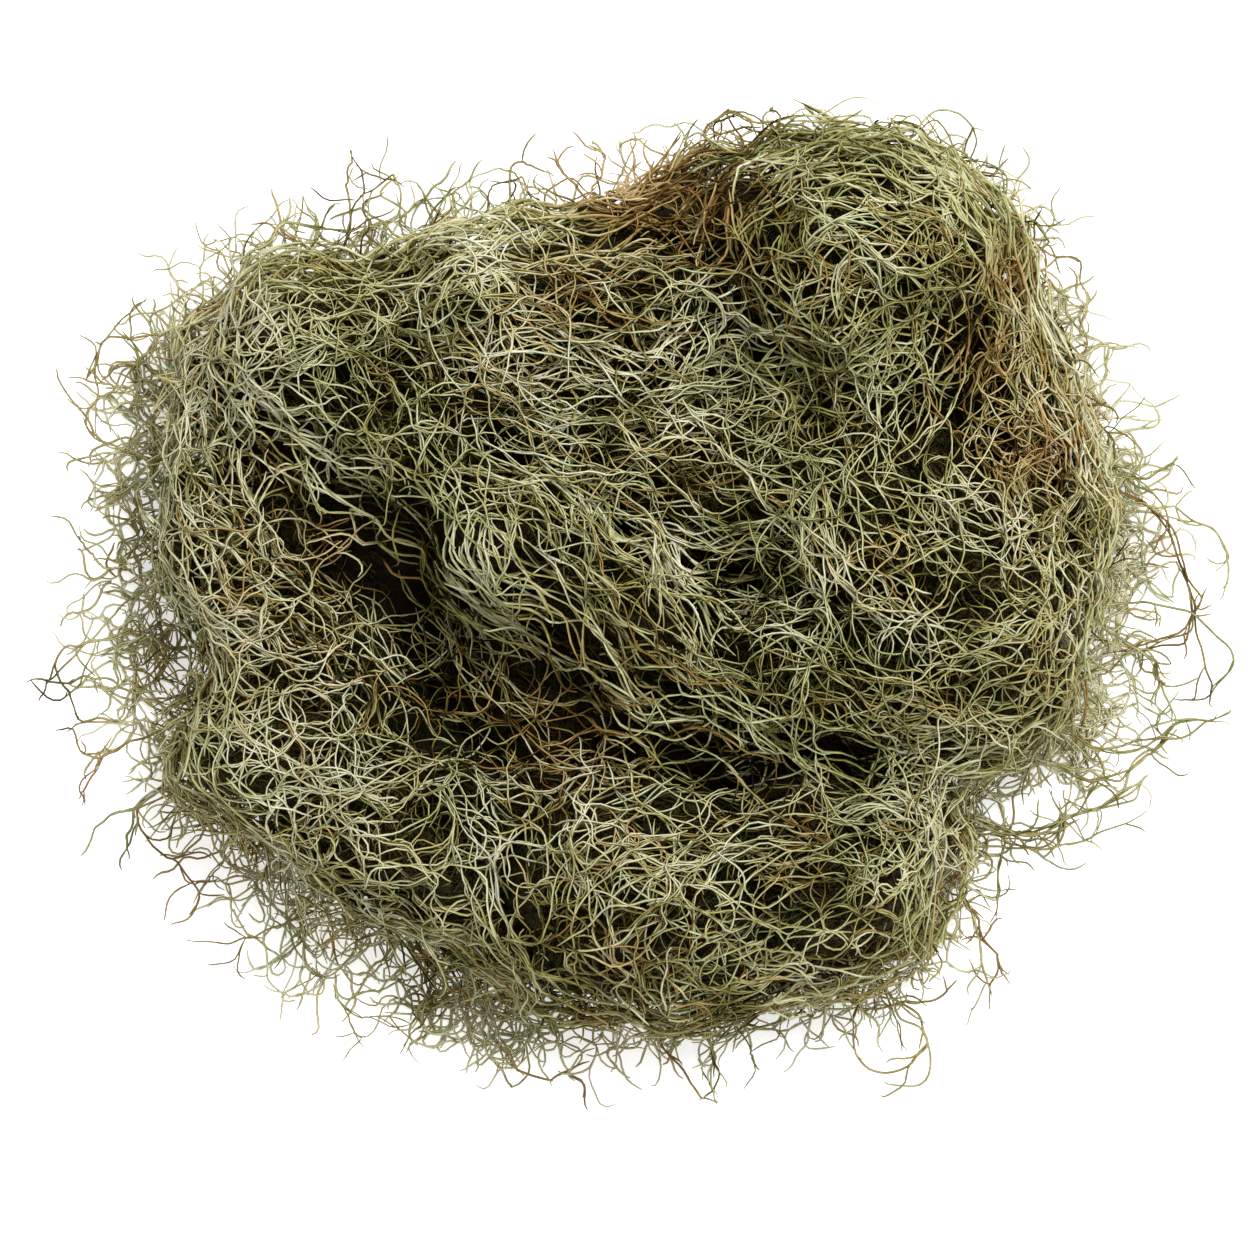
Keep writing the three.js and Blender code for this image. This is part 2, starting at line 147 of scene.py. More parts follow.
# ---- the lay: how the strands are combed -----------------------------------------------------------
# Each lay is a line in the picture, in pixels, that strands run along: half width in mm, how many strands
# lie on top along it, how much paler they are, and how many of them are brown, if any are.
LAYS = {
    "back_sweep": ([(400, 222), (470, 228), (560, 240), (640, 222), (700, 252)], 6, 34, 0.12),
    "back_sweep_low": ([(450, 245), (520, 268), (560, 256), (620, 238), (690, 245)], 6, 26, 0.10),
    "back_left_sweep": ([(400, 262), (450, 250), (500, 300), (540, 345)], 6, 16, 0.06),
    "back_fall": ([(500, 235), (510, 280), (540, 330), (600, 360)], 5, 16, 0.06),
    "back_loop": ([(655, 268), (672, 248), (720, 250), (735, 272), (690, 288), (655, 272)], 3, 14, 0.08),
    "back_brown": ([(540, 290), (580, 300), (620, 320)], 7, 12, -0.15, 1.0),
    "crown_brown": ([(560, 200), (620, 195), (690, 185), (740, 200), (730, 260)], 9, 26, -0.28, 0.9),
    "star_across": ([(690, 272), (755, 250), (830, 238), (900, 228)], 3, 14, 0.05),
    "star_down": ([(735, 190), (755, 250), (790, 290), (810, 330)], 3, 10, 0.04),
    "star_up": ([(790, 140), (795, 190), (757, 250), (730, 300)], 3, 12, 0.10),
    "knot_edge": (
        [(745, 135), (800, 120), (870, 125), (930, 147), (985, 190), (1020, 240), (1048, 310)],
        6, 36, 0.08,
    ),
    "knot_arc": ([(790, 150), (850, 142), (910, 162), (960, 205), (995, 262)], 5, 34, 0.08),
    "knot_back": ([(790, 148), (850, 158), (905, 172), (950, 196), (985, 228)], 9, 30, 0.04),
    "knot_across": ([(760, 214), (850, 205), (930, 196), (990, 180)], 4, 20, 0.10),
    "knot_diagonal": ([(840, 240), (890, 262), (950, 285), (1010, 280)], 5, 22, 0.06),
    "knot_spill_left": ([(800, 250), (752, 320), (702, 380), (640, 410)], 8, 24, 0.02),
    "knot_spill": ([(850, 290), (840, 350), (822, 410), (812, 460)], 8, 24, 0.02),
    "knot_spill_right": ([(905, 290), (928, 350), (925, 420), (915, 470)], 8, 24, 0.0, 0.1),
    "knot_middle": ([(795, 262), (850, 240), (905, 236), (960, 222)], 6, 26, 0.04, 0.1),
    "knot_fall": ([(800, 190), (830, 230), (868, 280), (900, 320)], 7, 24, 0.03, 0.1),
    "knot_low_arc": ([(882, 338), (925, 347), (970, 322), (1010, 285), (1040, 262)], 3, 8, 0.12),
    "knot_low_sweep": ([(705, 312), (770, 330), (840, 315), (900, 300), (950, 280)], 5, 24, 0.06),
    "knot_hem": ([(705, 372), (780, 365), (850, 348), (900, 335)], 5, 22, 0.06),
    "knot_side": ([(730, 290), (720, 340), (745, 380), (800, 400)], 5, 14, 0.02),
    "saddle_sweep": (
        [(470, 350), (540, 352), (610, 372), (690, 386), (760, 386), (830, 368)],
        5, 36, 0.12,
    ),
    "saddle_long": (
        [(500, 342), (570, 362), (640, 395), (720, 412), (790, 450), (840, 490), (870, 545)],
        5, 34, 0.10,
    ),
    "saddle_low": ([(455, 372), (500, 402), (560, 422), (640, 442), (700, 432)], 6, 24, 0.06),
    "saddle_centre": ([(560, 400), (640, 430), (720, 462), (790, 505)], 7, 26, 0.02, 0.2),
    "comb_right": ([(650, 522), (710, 545), (770, 560), (840, 545)], 6, 32, 0.06),
    "comb_right_low": ([(655, 562), (705, 590), (760, 602), (800, 590)], 5, 24, 0.06),
    "clump_loop": (
        [(300, 358), (278, 400), (300, 432), (342, 440), (366, 408), (345, 372), (300, 358)],
        3, 20, 0.14,
    ),
    "clump_top": ([(245, 292), (320, 302), (380, 290), (440, 262)], 6, 26, 0.06),
    "clump_across": ([(170, 352), (250, 350), (330, 352), (395, 345)], 6, 26, 0.08),
    "clump_arc": ([(400, 430), (385, 395), (340, 372), (290, 368)], 4, 16, 0.12),
    "clump_front": ([(395, 455), (340, 478), (295, 450), (275, 410)], 5, 20, 0.10),
    "clump_side": ([(400, 300), (430, 350), (430, 420), (400, 470)], 6, 18, 0.0),
    "corner_left": ([(185, 335), (200, 290), (240, 268), (300, 260)], 8, 14, 0.10),
    "corner_back": ([(240, 262), (300, 245), (360, 232), (420, 224)], 7, 12, 0.02, 0.1),
    "roll_edge": (
        [(205, 285), (180, 340), (165, 400), (163, 460), (178, 525), (205, 580), (245, 640)],
        7, 12, 0.06, 0.1,
    ),
    "roll_middle": (
        [(222, 300), (200, 380), (188, 450), (192, 520), (218, 580), (262, 632), (330, 655)],
        5, 34, 0.10, 0.05,
    ),
    "roll_inner": ([(235, 400), (218, 460), (232, 520), (268, 570), (285, 610)], 5, 22, 0.06),
    "roll_brown": ([(188, 440), (200, 520), (235, 590), (285, 640)], 3, 14, -0.10, 0.9),
    "roll_foot": ([(195, 615), (250, 635), (315, 655), (352, 630), (350, 570)], 4, 22, 0.08, 0.1),
    "mat_rope": ([(240, 688), (300, 698), (360, 690), (420, 688)], 3, 18, 0.12, 0.1),
    "mat_across": ([(180, 702), (240, 742), (300, 772), (370, 782), (440, 768)], 7, 28, 0.04),
    "mat_low": ([(215, 785), (270, 812), (330, 832), (400, 822), (460, 790)], 8, 6, 0.08),
    "mat_fall_left": ([(250, 745), (232, 800), (222, 850)], 7, 14, 0.04),
    "mat_fall_low": ([(350, 850), (362, 900), (372, 950)], 7, 14, 0.04),
    "mat_edge": ([(188, 735), (214, 780), (250, 822)], 7, 18, 0.02),
    "mat_hem": ([(330, 845), (370, 872), (420, 892), (480, 888)], 7, 8, 0.06),
    "mat_loop": ([(310, 800), (300, 838), (330, 858), (352, 830), (330, 805)], 3, 12, 0.10),
    "mat_fall": ([(440, 780), (482, 850), (498, 900), (512, 960)], 4, 16, 0.10),
    "drape_brow": ([(465, 478), (520, 500), (575, 492), (625, 482), (650, 512)], 5, 34, 0.14),
    "drape_edge": ([(462, 430), (450, 490), (468, 550), (478, 610), (490, 660)], 4, 30, 0.14),
    "drape_fall": ([(495, 505), (492, 560), (510, 610), (522, 645)], 5, 36, 0.14),
    "drape_fall_middle": ([(540, 505), (572, 560), (590, 605), (618, 655)], 5, 34, 0.12),
    "drape_fall_right": ([(570, 500), (592, 560), (625, 602), (682, 660), (740, 692)], 5, 34, 0.12),
    "drape_shoulder": ([(618, 508), (640, 560), (690, 612), (722, 660), (742, 690)], 5, 28, 0.08),
    "drape_bundle": ([(600, 602), (650, 648), (700, 688), (745, 700)], 3, 24, 0.10, 0.2),
    "drape_hem": ([(440, 622), (480, 672), (540, 694), (600, 664), (645, 655)], 3, 14, 0.14),
    "drape_hem_low": ([(470, 600), (500, 680), (525, 725), (580, 735)], 3, 10, 0.08, 0.1),
    "mound_ridge": ([(772, 440), (790, 520), (800, 600), (800, 680), (790, 760)], 4, 34, 0.12),
    "mound_side": ([(820, 600), (825, 660), (840, 700), (900, 720)], 5, 22, 0.08),
    "mound_star": ([(860, 395), (905, 460), (940, 520), (950, 560)], 4, 18, 0.10),
    "mound_star_across": ([(850, 500), (905, 462), (960, 440), (1010, 430)], 4, 14, 0.08),
    "mound_sweep_high": ([(905, 470), (960, 502), (1020, 522), (1075, 500)], 4, 24, 0.12),
    "mound_sweep": ([(900, 482), (940, 522), (990, 560), (1040, 580), (1090, 572)], 5, 28, 0.10),
    "mound_sweep_low": (
        [(812, 500), (850, 542), (900, 600), (950, 622), (1010, 612), (1060, 592)],
        6, 34, 0.08,
    ),
    "mound_belt": ([(842, 640), (900, 652), (960, 640), (1020, 652), (1075, 640)], 6, 28, 0.04, 0.1),
    "mound_fall": ([(902, 650), (935, 672), (950, 705), (1000, 735)], 4, 14, 0.10),
    "mound_hem": ([(800, 652), (860, 682), (940, 702), (1000, 732), (1055, 742)], 5, 22, 0.06, 0.2),
    "mound_low_foot": ([(830, 780), (890, 792), (945, 800), (985, 835)], 8, 30, 0.08),
    "mound_foot": ([(820, 702), (900, 722), (980, 750), (1040, 752), (1100, 742)], 5, 22, 0.06, 0.1),
    "right_brown": ([(985, 300), (972, 360), (972, 420), (1020, 470)], 7, 24, -0.12, 1.0),
    "right_brown_low": ([(1000, 440), (1040, 460), (1030, 520), (1040, 560)], 7, 16, -0.05, 0.9),
    "rim_edge": (
        [(1052, 272), (1058, 340), (1052, 402), (1078, 460), (1090, 532), (1085, 622), (1070, 702)],
        7, 12, 0.10, 0.05,
    ),
    "rim_outer": ([(1042, 330), (1062, 390), (1080, 450), (1095, 520)], 8, 30, 0.12),
    "rim_inner": ([(1010, 300), (1022, 360), (1030, 390), (1060, 400)], 4, 18, 0.12),
    "swirl_top": ([(460, 772), (520, 792), (600, 762), (680, 776), (760, 792)], 6, 26, 0.08),
    "swirl_arc": ([(885, 800), (820, 822), (750, 826), (680, 850), (620, 870), (590, 905)], 6, 44, 0.14),
    "swirl_arc_low": (
        [(900, 832), (830, 842), (760, 848), (700, 872), (662, 905), (652, 945), (682, 990)],
        5, 36, 0.12,
    ),
    "swirl_ring": (
        [(800, 880), (750, 858), (700, 882), (668, 930), (692, 972), (752, 985), (820, 950), (845, 905)],
        4, 30, 0.06, 0.1,
    ),
    "swirl_fall": ([(540, 782), (580, 832), (592, 880), (602, 930), (622, 990)], 5, 28, 0.10),
    "swirl_fall_left": ([(505, 800), (490, 870), (510, 940), (526, 1000)], 4, 20, 0.12),
    "swirl_hem": (
        [(530, 932), (582, 972), (640, 1008), (702, 1012), (780, 1000), (850, 982)],
        7, 12, 0.06,
    ),
    "swirl_right": ([(850, 792), (900, 832), (935, 882), (918, 940), (870, 985)], 7, 34, 0.04, 0.1),
    "swirl_eye": ([(690, 912), (740, 940), (800, 932), (830, 892)], 5, 18, 0.04, 0.1),
    "hole_fall": ([(330, 515), (385, 558), (428, 610), (455, 665)], 9, 9, 0.0, 0.2),
    "hole_across": ([(395, 650), (440, 695), (500, 738), (570, 752)], 8, 8, 0.08, 0.1),
    "low_brown_fan": ([(490, 702), (560, 732), (630, 728), (700, 702)], 6, 24, -0.05, 1.0),
    "low_brown_back": ([(250, 500), (310, 540), (350, 560)], 7, 16, -0.10, 0.8),
    "low_rope": ([(552, 770), (572, 730), (600, 702), (640, 696)], 2, 10, 0.14, 0.1),
    "low_orange": ([(775, 815), (815, 822), (840, 838)], 2, 5, -0.10, 1.0),
}

# ---- where the bunch is dark, brown or thin --------------------------------------------------------
# Spots in the picture, in pixels: x, y, radius, strength.
# Dark spots are hollows: strands dip and thin out there, and the deep ones and the dark inside get painted
# shade.
DARK_SPOTS = [
    (340, 560, 40, 0.40), (385, 570, 50, 0.70), (425, 540, 40, 0.65), (422, 595, 45, 0.80),
    (440, 650, 50, 0.95), (460, 705, 50, 1.0), (420, 735, 40, 0.65), (415, 700, 36, 0.55),
    (370, 500, 40, 0.25), (735, 285, 32, 0.55), (700, 190, 32, 0.30), (232, 470, 40, 0.55),
    (262, 490, 36, 0.40), (770, 300, 40, 0.30), (300, 500, 40, 0.10), (495, 735, 45, 0.50),
    (600, 725, 60, 0.35), (605, 655, 45, 0.50), (655, 635, 45, 0.42), (455, 780, 32, 0.20),
    (585, 595, 42, 0.38), (545, 665, 32, 0.45), (710, 590, 45, 0.10), (705, 665, 40, 0.25),
    (760, 560, 35, 0.18), (690, 735, 55, 0.45), (745, 765, 48, 0.50), (800, 745, 45, 0.30),
    (840, 750, 30, 0.25), (520, 570, 40, 0.22), (625, 570, 38, 0.12), (590, 325, 26, 0.20),
    (575, 300, 55, 0.05), (660, 215, 40, 0.30), (745, 295, 50, 0.18), (945, 325, 48, 0.75),
    (905, 310, 32, 0.50), (980, 370, 55, 0.25), (915, 395, 36, 0.22), (950, 530, 26, 0.32),
    (890, 665, 62, 0.14), (405, 380, 40, 0.26), (420, 285, 34, 0.30), (255, 500, 40, 0.20),
    (500, 985, 62, 0.30), (615, 995, 36, 0.30), (730, 900, 40, 0.14), (775, 870, 40, 0.12),
    (810, 480, 30, 0.10), (360, 460, 60, 0.12), (690, 830, 30, 0.10),
]
# Pale and dull spots make strands paler or darker: partly their own tone, partly painted light and painted
# shade.
PALE_SPOTS = [
    (205, 290, 55, 1.2), (230, 375, 60, 1.0), (110, 440, 45, 0.8), (190, 400, 40, 0.5),
    (90, 620, 50, 0.8), (205, 590, 45, 0.8), (250, 640, 50, 0.9), (130, 770, 50, 1.0),
    (300, 740, 60, 0.9), (265, 900, 45, 1.0), (590, 800, 60, 1.1), (640, 840, 45, 0.5),
    (340, 815, 50, 0.6), (505, 855, 55, 1.1), (725, 865, 45, 0.7), (475, 905, 45, 0.6),
    (940, 765, 45, 0.6), (310, 950, 45, 1.0), (490, 345, 60, 1.0), (570, 245, 60, 0.2),
    (600, 360, 60, 0.8), (670, 350, 50, 0.8), (530, 410, 55, 0.9), (650, 395, 40, 0.4),
    (675, 425, 50, 0.7), (945, 345, 30, 0.5), (1010, 345, 45, 0.7), (665, 535, 60, 0.8),
    (840, 575, 50, 0.6), (770, 620, 40, 0.6), (1050, 390, 40, 1.1), (1010, 465, 50, 0.8),
    (765, 595, 50, 0.6), (1000, 545, 60, 0.6), (1060, 600, 50, 0.5), (920, 810, 50, 0.9),
    (925, 860, 50, 0.9), (640, 770, 50, 0.5), (700, 895, 45, 0.5), (820, 950, 55, 0.6),
    (500, 1050, 50, 0.8), (610, 1045, 50, 0.8), (560, 170, 40, 0.4), (450, 480, 30, 0.6),
    (470, 560, 30, 0.4), (330, 650, 50, 0.5), (945, 195, 50, 0.3), (490, 390, 45, 0.8),
    (905, 615, 50, 0.7), (840, 560, 45, 0.6), (1060, 440, 40, 1.2), (270, 415, 50, 1.2),
    (475, 275, 50, 0.9), (280, 470, 45, 0.7), (325, 525, 50, 0.8), (870, 262, 45, 0.5),
    (1020, 320, 45, 0.7), (365, 790, 60, 1.1), (120, 775, 50, 0.6), (1075, 475, 40, 0.7),
    (775, 885, 50, 0.6), (275, 925, 50, 0.6), (320, 975, 50, 0.7), (1050, 470, 45, 0.6),
    (625, 170, 50, 1.5), (325, 425, 45, 0.8), (675, 570, 35, 0.9), (925, 570, 40, 0.9),
    (625, 775, 40, 0.9), (725, 775, 40, 0.9), (275, 875, 45, 0.8), (370, 1015, 45, 1.0),
    (1030, 410, 40, 0.5), (690, 800, 40, 0.5), (790, 880, 35, 0.5), (640, 915, 35, 0.5),
    (300, 820, 40, 0.3), (330, 690, 50, 0.7), (690, 555, 45, 0.5), (960, 220, 35, 0.6),
]
DULL_SPOTS = [
    (605, 605, 50, 0.9), (660, 650, 50, 0.8), (720, 690, 45, 0.7), (560, 945, 45, 0.7),
    (500, 955, 45, 0.6), (920, 310, 50, 0.8), (920, 215, 35, 0.5), (405, 520, 40, 0.6),
    (420, 750, 50, 0.7), (970, 620, 40, 0.5), (795, 720, 45, 0.5), (370, 270, 40, 0.5),
    (560, 970, 45, 0.6), (750, 545, 30, 0.4), (420, 430, 35, 0.4), (55, 700, 35, 0.8), (60, 550, 30, 0.6),
    (570, 680, 45, 0.5), (420, 1000, 40, 1.0), (355, 990, 35, 0.5), (600, 260, 30, 0.3),
    (155, 310, 30, 0.6), (540, 500, 40, 0.3), (425, 575, 40, 1.0), (625, 572, 35, 0.9),
    (775, 572, 35, 0.9), (725, 1020, 40, 1.0), (375, 275, 40, 0.5), (975, 325, 30, 0.8),
    (825, 375, 40, 0.7), (425, 825, 35, 0.5), (575, 1015, 40, 0.8), (862, 775, 40, 1.1),
    (872, 870, 40, 0.6), (970, 225, 35, 0.6), (875, 175, 40, 0.5), (975, 625, 35, 0.6),
    (725, 725, 35, 0.6), (575, 675, 35, 0.7), (775, 265, 45, 0.2), (375, 395, 55, 0.8),
    (425, 470, 45, 0.8), (620, 415, 40, 0.5), (620, 525, 40, 0.6), (415, 565, 45, 0.8),
    (430, 715, 45, 0.6), (820, 165, 45, 0.5), (670, 915, 40, 0.5), (670, 625, 40, 0.5),
    (165, 670, 50, 0.6), (840, 670, 50, 0.6), (970, 665, 45, 0.6), (180, 725, 45, 0.5),
    (430, 815, 45, 0.5), (370, 265, 45, 0.4), (875, 315, 40, 0.7), (820, 815, 45, 0.5),
    (575, 960, 60, 0.4), (325, 225, 40, 0.6), (765, 125, 50, 0.8), (830, 870, 60, 1.0),
    (825, 745, 60, 0.5), (575, 1000, 50, 0.8), (780, 255, 45, 0.5),
]
BROWN_SPOTS = [
    (650, 205, 80, 0.95), (715, 215, 48, 1.0), (735, 262, 34, 0.8), (570, 295, 62, 0.75),
    (600, 320, 40, 0.60), (1010, 280, 46, 0.80), (985, 360, 60, 0.85), (1030, 455, 62, 0.85),
    (1010, 540, 36, 0.45), (745, 130, 40, 0.5), (330, 540, 50, 0.75), (225, 585, 40, 0.55),
    (310, 675, 56, 0.45), (560, 715, 82, 0.80), (570, 650, 42, 0.60), (620, 640, 36, 0.50),
    (660, 660, 60, 0.25), (900, 705, 80, 0.40), (1035, 665, 50, 0.45), (555, 930, 32, 0.50),
    (635, 960, 42, 0.50), (775, 870, 48, 0.40), (805, 822, 26, 0.85), (600, 1026, 42, 0.65),
    (215, 300, 60, 0.40), (205, 840, 60, 0.35), (900, 960, 42, 0.35), (385, 375, 30, 0.40),
    (900, 240, 60, 0.15), (1110, 590, 40, 0.30), (975, 960, 40, 0.60), (690, 490, 90, 0.15),
    (860, 580, 40, 0.25),
]
# Lines in the picture, in pixels, along which the bunch thins out to a net: reach in mm, and how much
# further in the close strands lie there, in mm.
THIN_EDGES = {
    "all_round": (
        [
            (190, 275), (140, 400), (110, 540), (125, 700), (200, 840), (300, 940), (440, 1020),
            (640, 1060), (860, 1010), (960, 880), (990, 800), (1080, 770), (1120, 660), (1150, 520),
            (1085, 380), (1050, 270), (960, 150), (830, 112), (710, 118), (600, 180), (440, 212),
            (190, 275),
        ],
        14, 2.2,
    ),
    "left": ([(140, 300), (105, 420), (95, 540), (105, 700)], 22, 19.0),
    "front_left": ([(130, 770), (190, 850)], 15, 6.0),
    "hanging": ([(212, 875), (290, 928), (345, 958)], 20, 14.0),
    "front": ([(440, 1030), (640, 1065), (840, 1020)], 12, 4.0),
    "right": ([(1080, 280), (1110, 350), (1150, 450), (1165, 560), (1130, 700)], 18, 14.0),
    "right_foot": ([(1100, 800), (985, 822), (948, 900)], 14, 7.0),
    "knot_side": ([(1000, 170), (1060, 290)], 12, 6.0),
    "crown": ([(570, 190), (620, 172), (665, 155)], 10, 5.0),
}

# ---- the net: strands that run round the edge, just off the surface, and can be seen through ---------
# A line in the picture, in pixels; from how far in to how far out they reach, in mm; how many strands;
# how pale they are.
NETS = {
    "left": (
        [(190, 290), (155, 345), (138, 400), (124, 470), (120, 540), (126, 600), (122, 660), (135, 730)],
        -15, 4, 460, 0.60,
    ),
    "front_left": ([(152, 735), (190, 795), (238, 846), (287, 880)], -14, 3, 230, 0.74),
    "front_left_low": ([(285, 885), (335, 922), (390, 958), (440, 1000)], -14, 1, 130, 0.74),
    "front_corner": ([(400, 995), (460, 1022), (540, 1040)], -8, 3, 120, 0.62),
    "hanging": ([(225, 860), (255, 900), (290, 950), (330, 985), (350, 950)], -7, 2, 65, 1.08),
    "front": (
        [(440, 1000), (500, 1025), (580, 1042), (660, 1042), (740, 1032), (820, 1012), (880, 985)],
        -9, 3, 320, 0.74,
    ),
    "front_right": ([(880, 985), (930, 940), (950, 900), (958, 850), (975, 800)], -9, 3, 190, 0.70),
    "right": (
        [(1060, 310), (1080, 380), (1105, 460), (1126, 520), (1130, 570), (1105, 640), (1085, 700)],
        -12, 5, 560, 0.70,
    ),
    "right_foot": ([(1090, 700), (1080, 740), (1030, 760), (980, 780)], -7, 4, 210, 0.68),
    "back_left": ([(205, 285), (275, 262), (340, 240), (400, 225), (470, 218)], -7, 3, 170, 0.60),
    "back": ([(470, 215), (560, 205), (640, 190), (710, 160)], -8, 0, 70, 0.54),
    "knot": (
        [
            (705, 140), (725, 118), (780, 112), (860, 115), (945, 158), (1005, 212), (1040, 270),
            (1055, 310),
        ],
        -6, 2, 240, 0.70,
    ),
}

# ---- long strays: points x, y, z, as in part.mjs --------------------------------------------------
STRAYS = [
    [(98, -20, 20), (118, -34, 15), (133, -34, 10), (145, -28, 6), (151.4, -24, 3)],
    [(117, 24, 18), (131, 27, 16), (144, 22, 12), (151.4, 12, 8), (148, 2, 5)],
    [(104, -4, 18), (126, 2, 17), (142, -2, 13), (151.4, -12, 8), (147, -20, 4)],
    [(66, -60, 18), (88, -60, 17), (106, -59, 12), (120, -56, 8), (130, -51, 4)],
    [(-102, 16, 16), (-124, 4, 14), (-137, -10, 9), (-146, -17, 5), (-151.4, -18, 2)],
    [(-100, -34, 16), (-118, -44, 12), (-128, -51, 7), (-135, -55, 3)],
    [(-80, 76, 24), (-70, 95, 25), (-67, 106, 21), (-69, 116, 15)],
    [(44, 100, 58), (36, 118, 50), (27, 124.8, 43), (18, 121, 36)],
    [(66, 108, 48), (72, 121, 42), (80, 124.8, 34), (90, 119, 28)],
    [(10, -92, 14), (8, -109, 11), (14, -117, 7), (22, -124.8, 3)],
    [(56, -80, 16), (66, -99, 12), (76, -109, 8), (73, -119, 4), (64, -118, 2)],
    [(-70, -60, 14), (-84, -76, 11), (-98, -84, 7), (-112, -82, 3)],
    [(-50, -62, 14), (-54, -84, 12), (-50, -100, 8), (-58, -112, 3)],
]
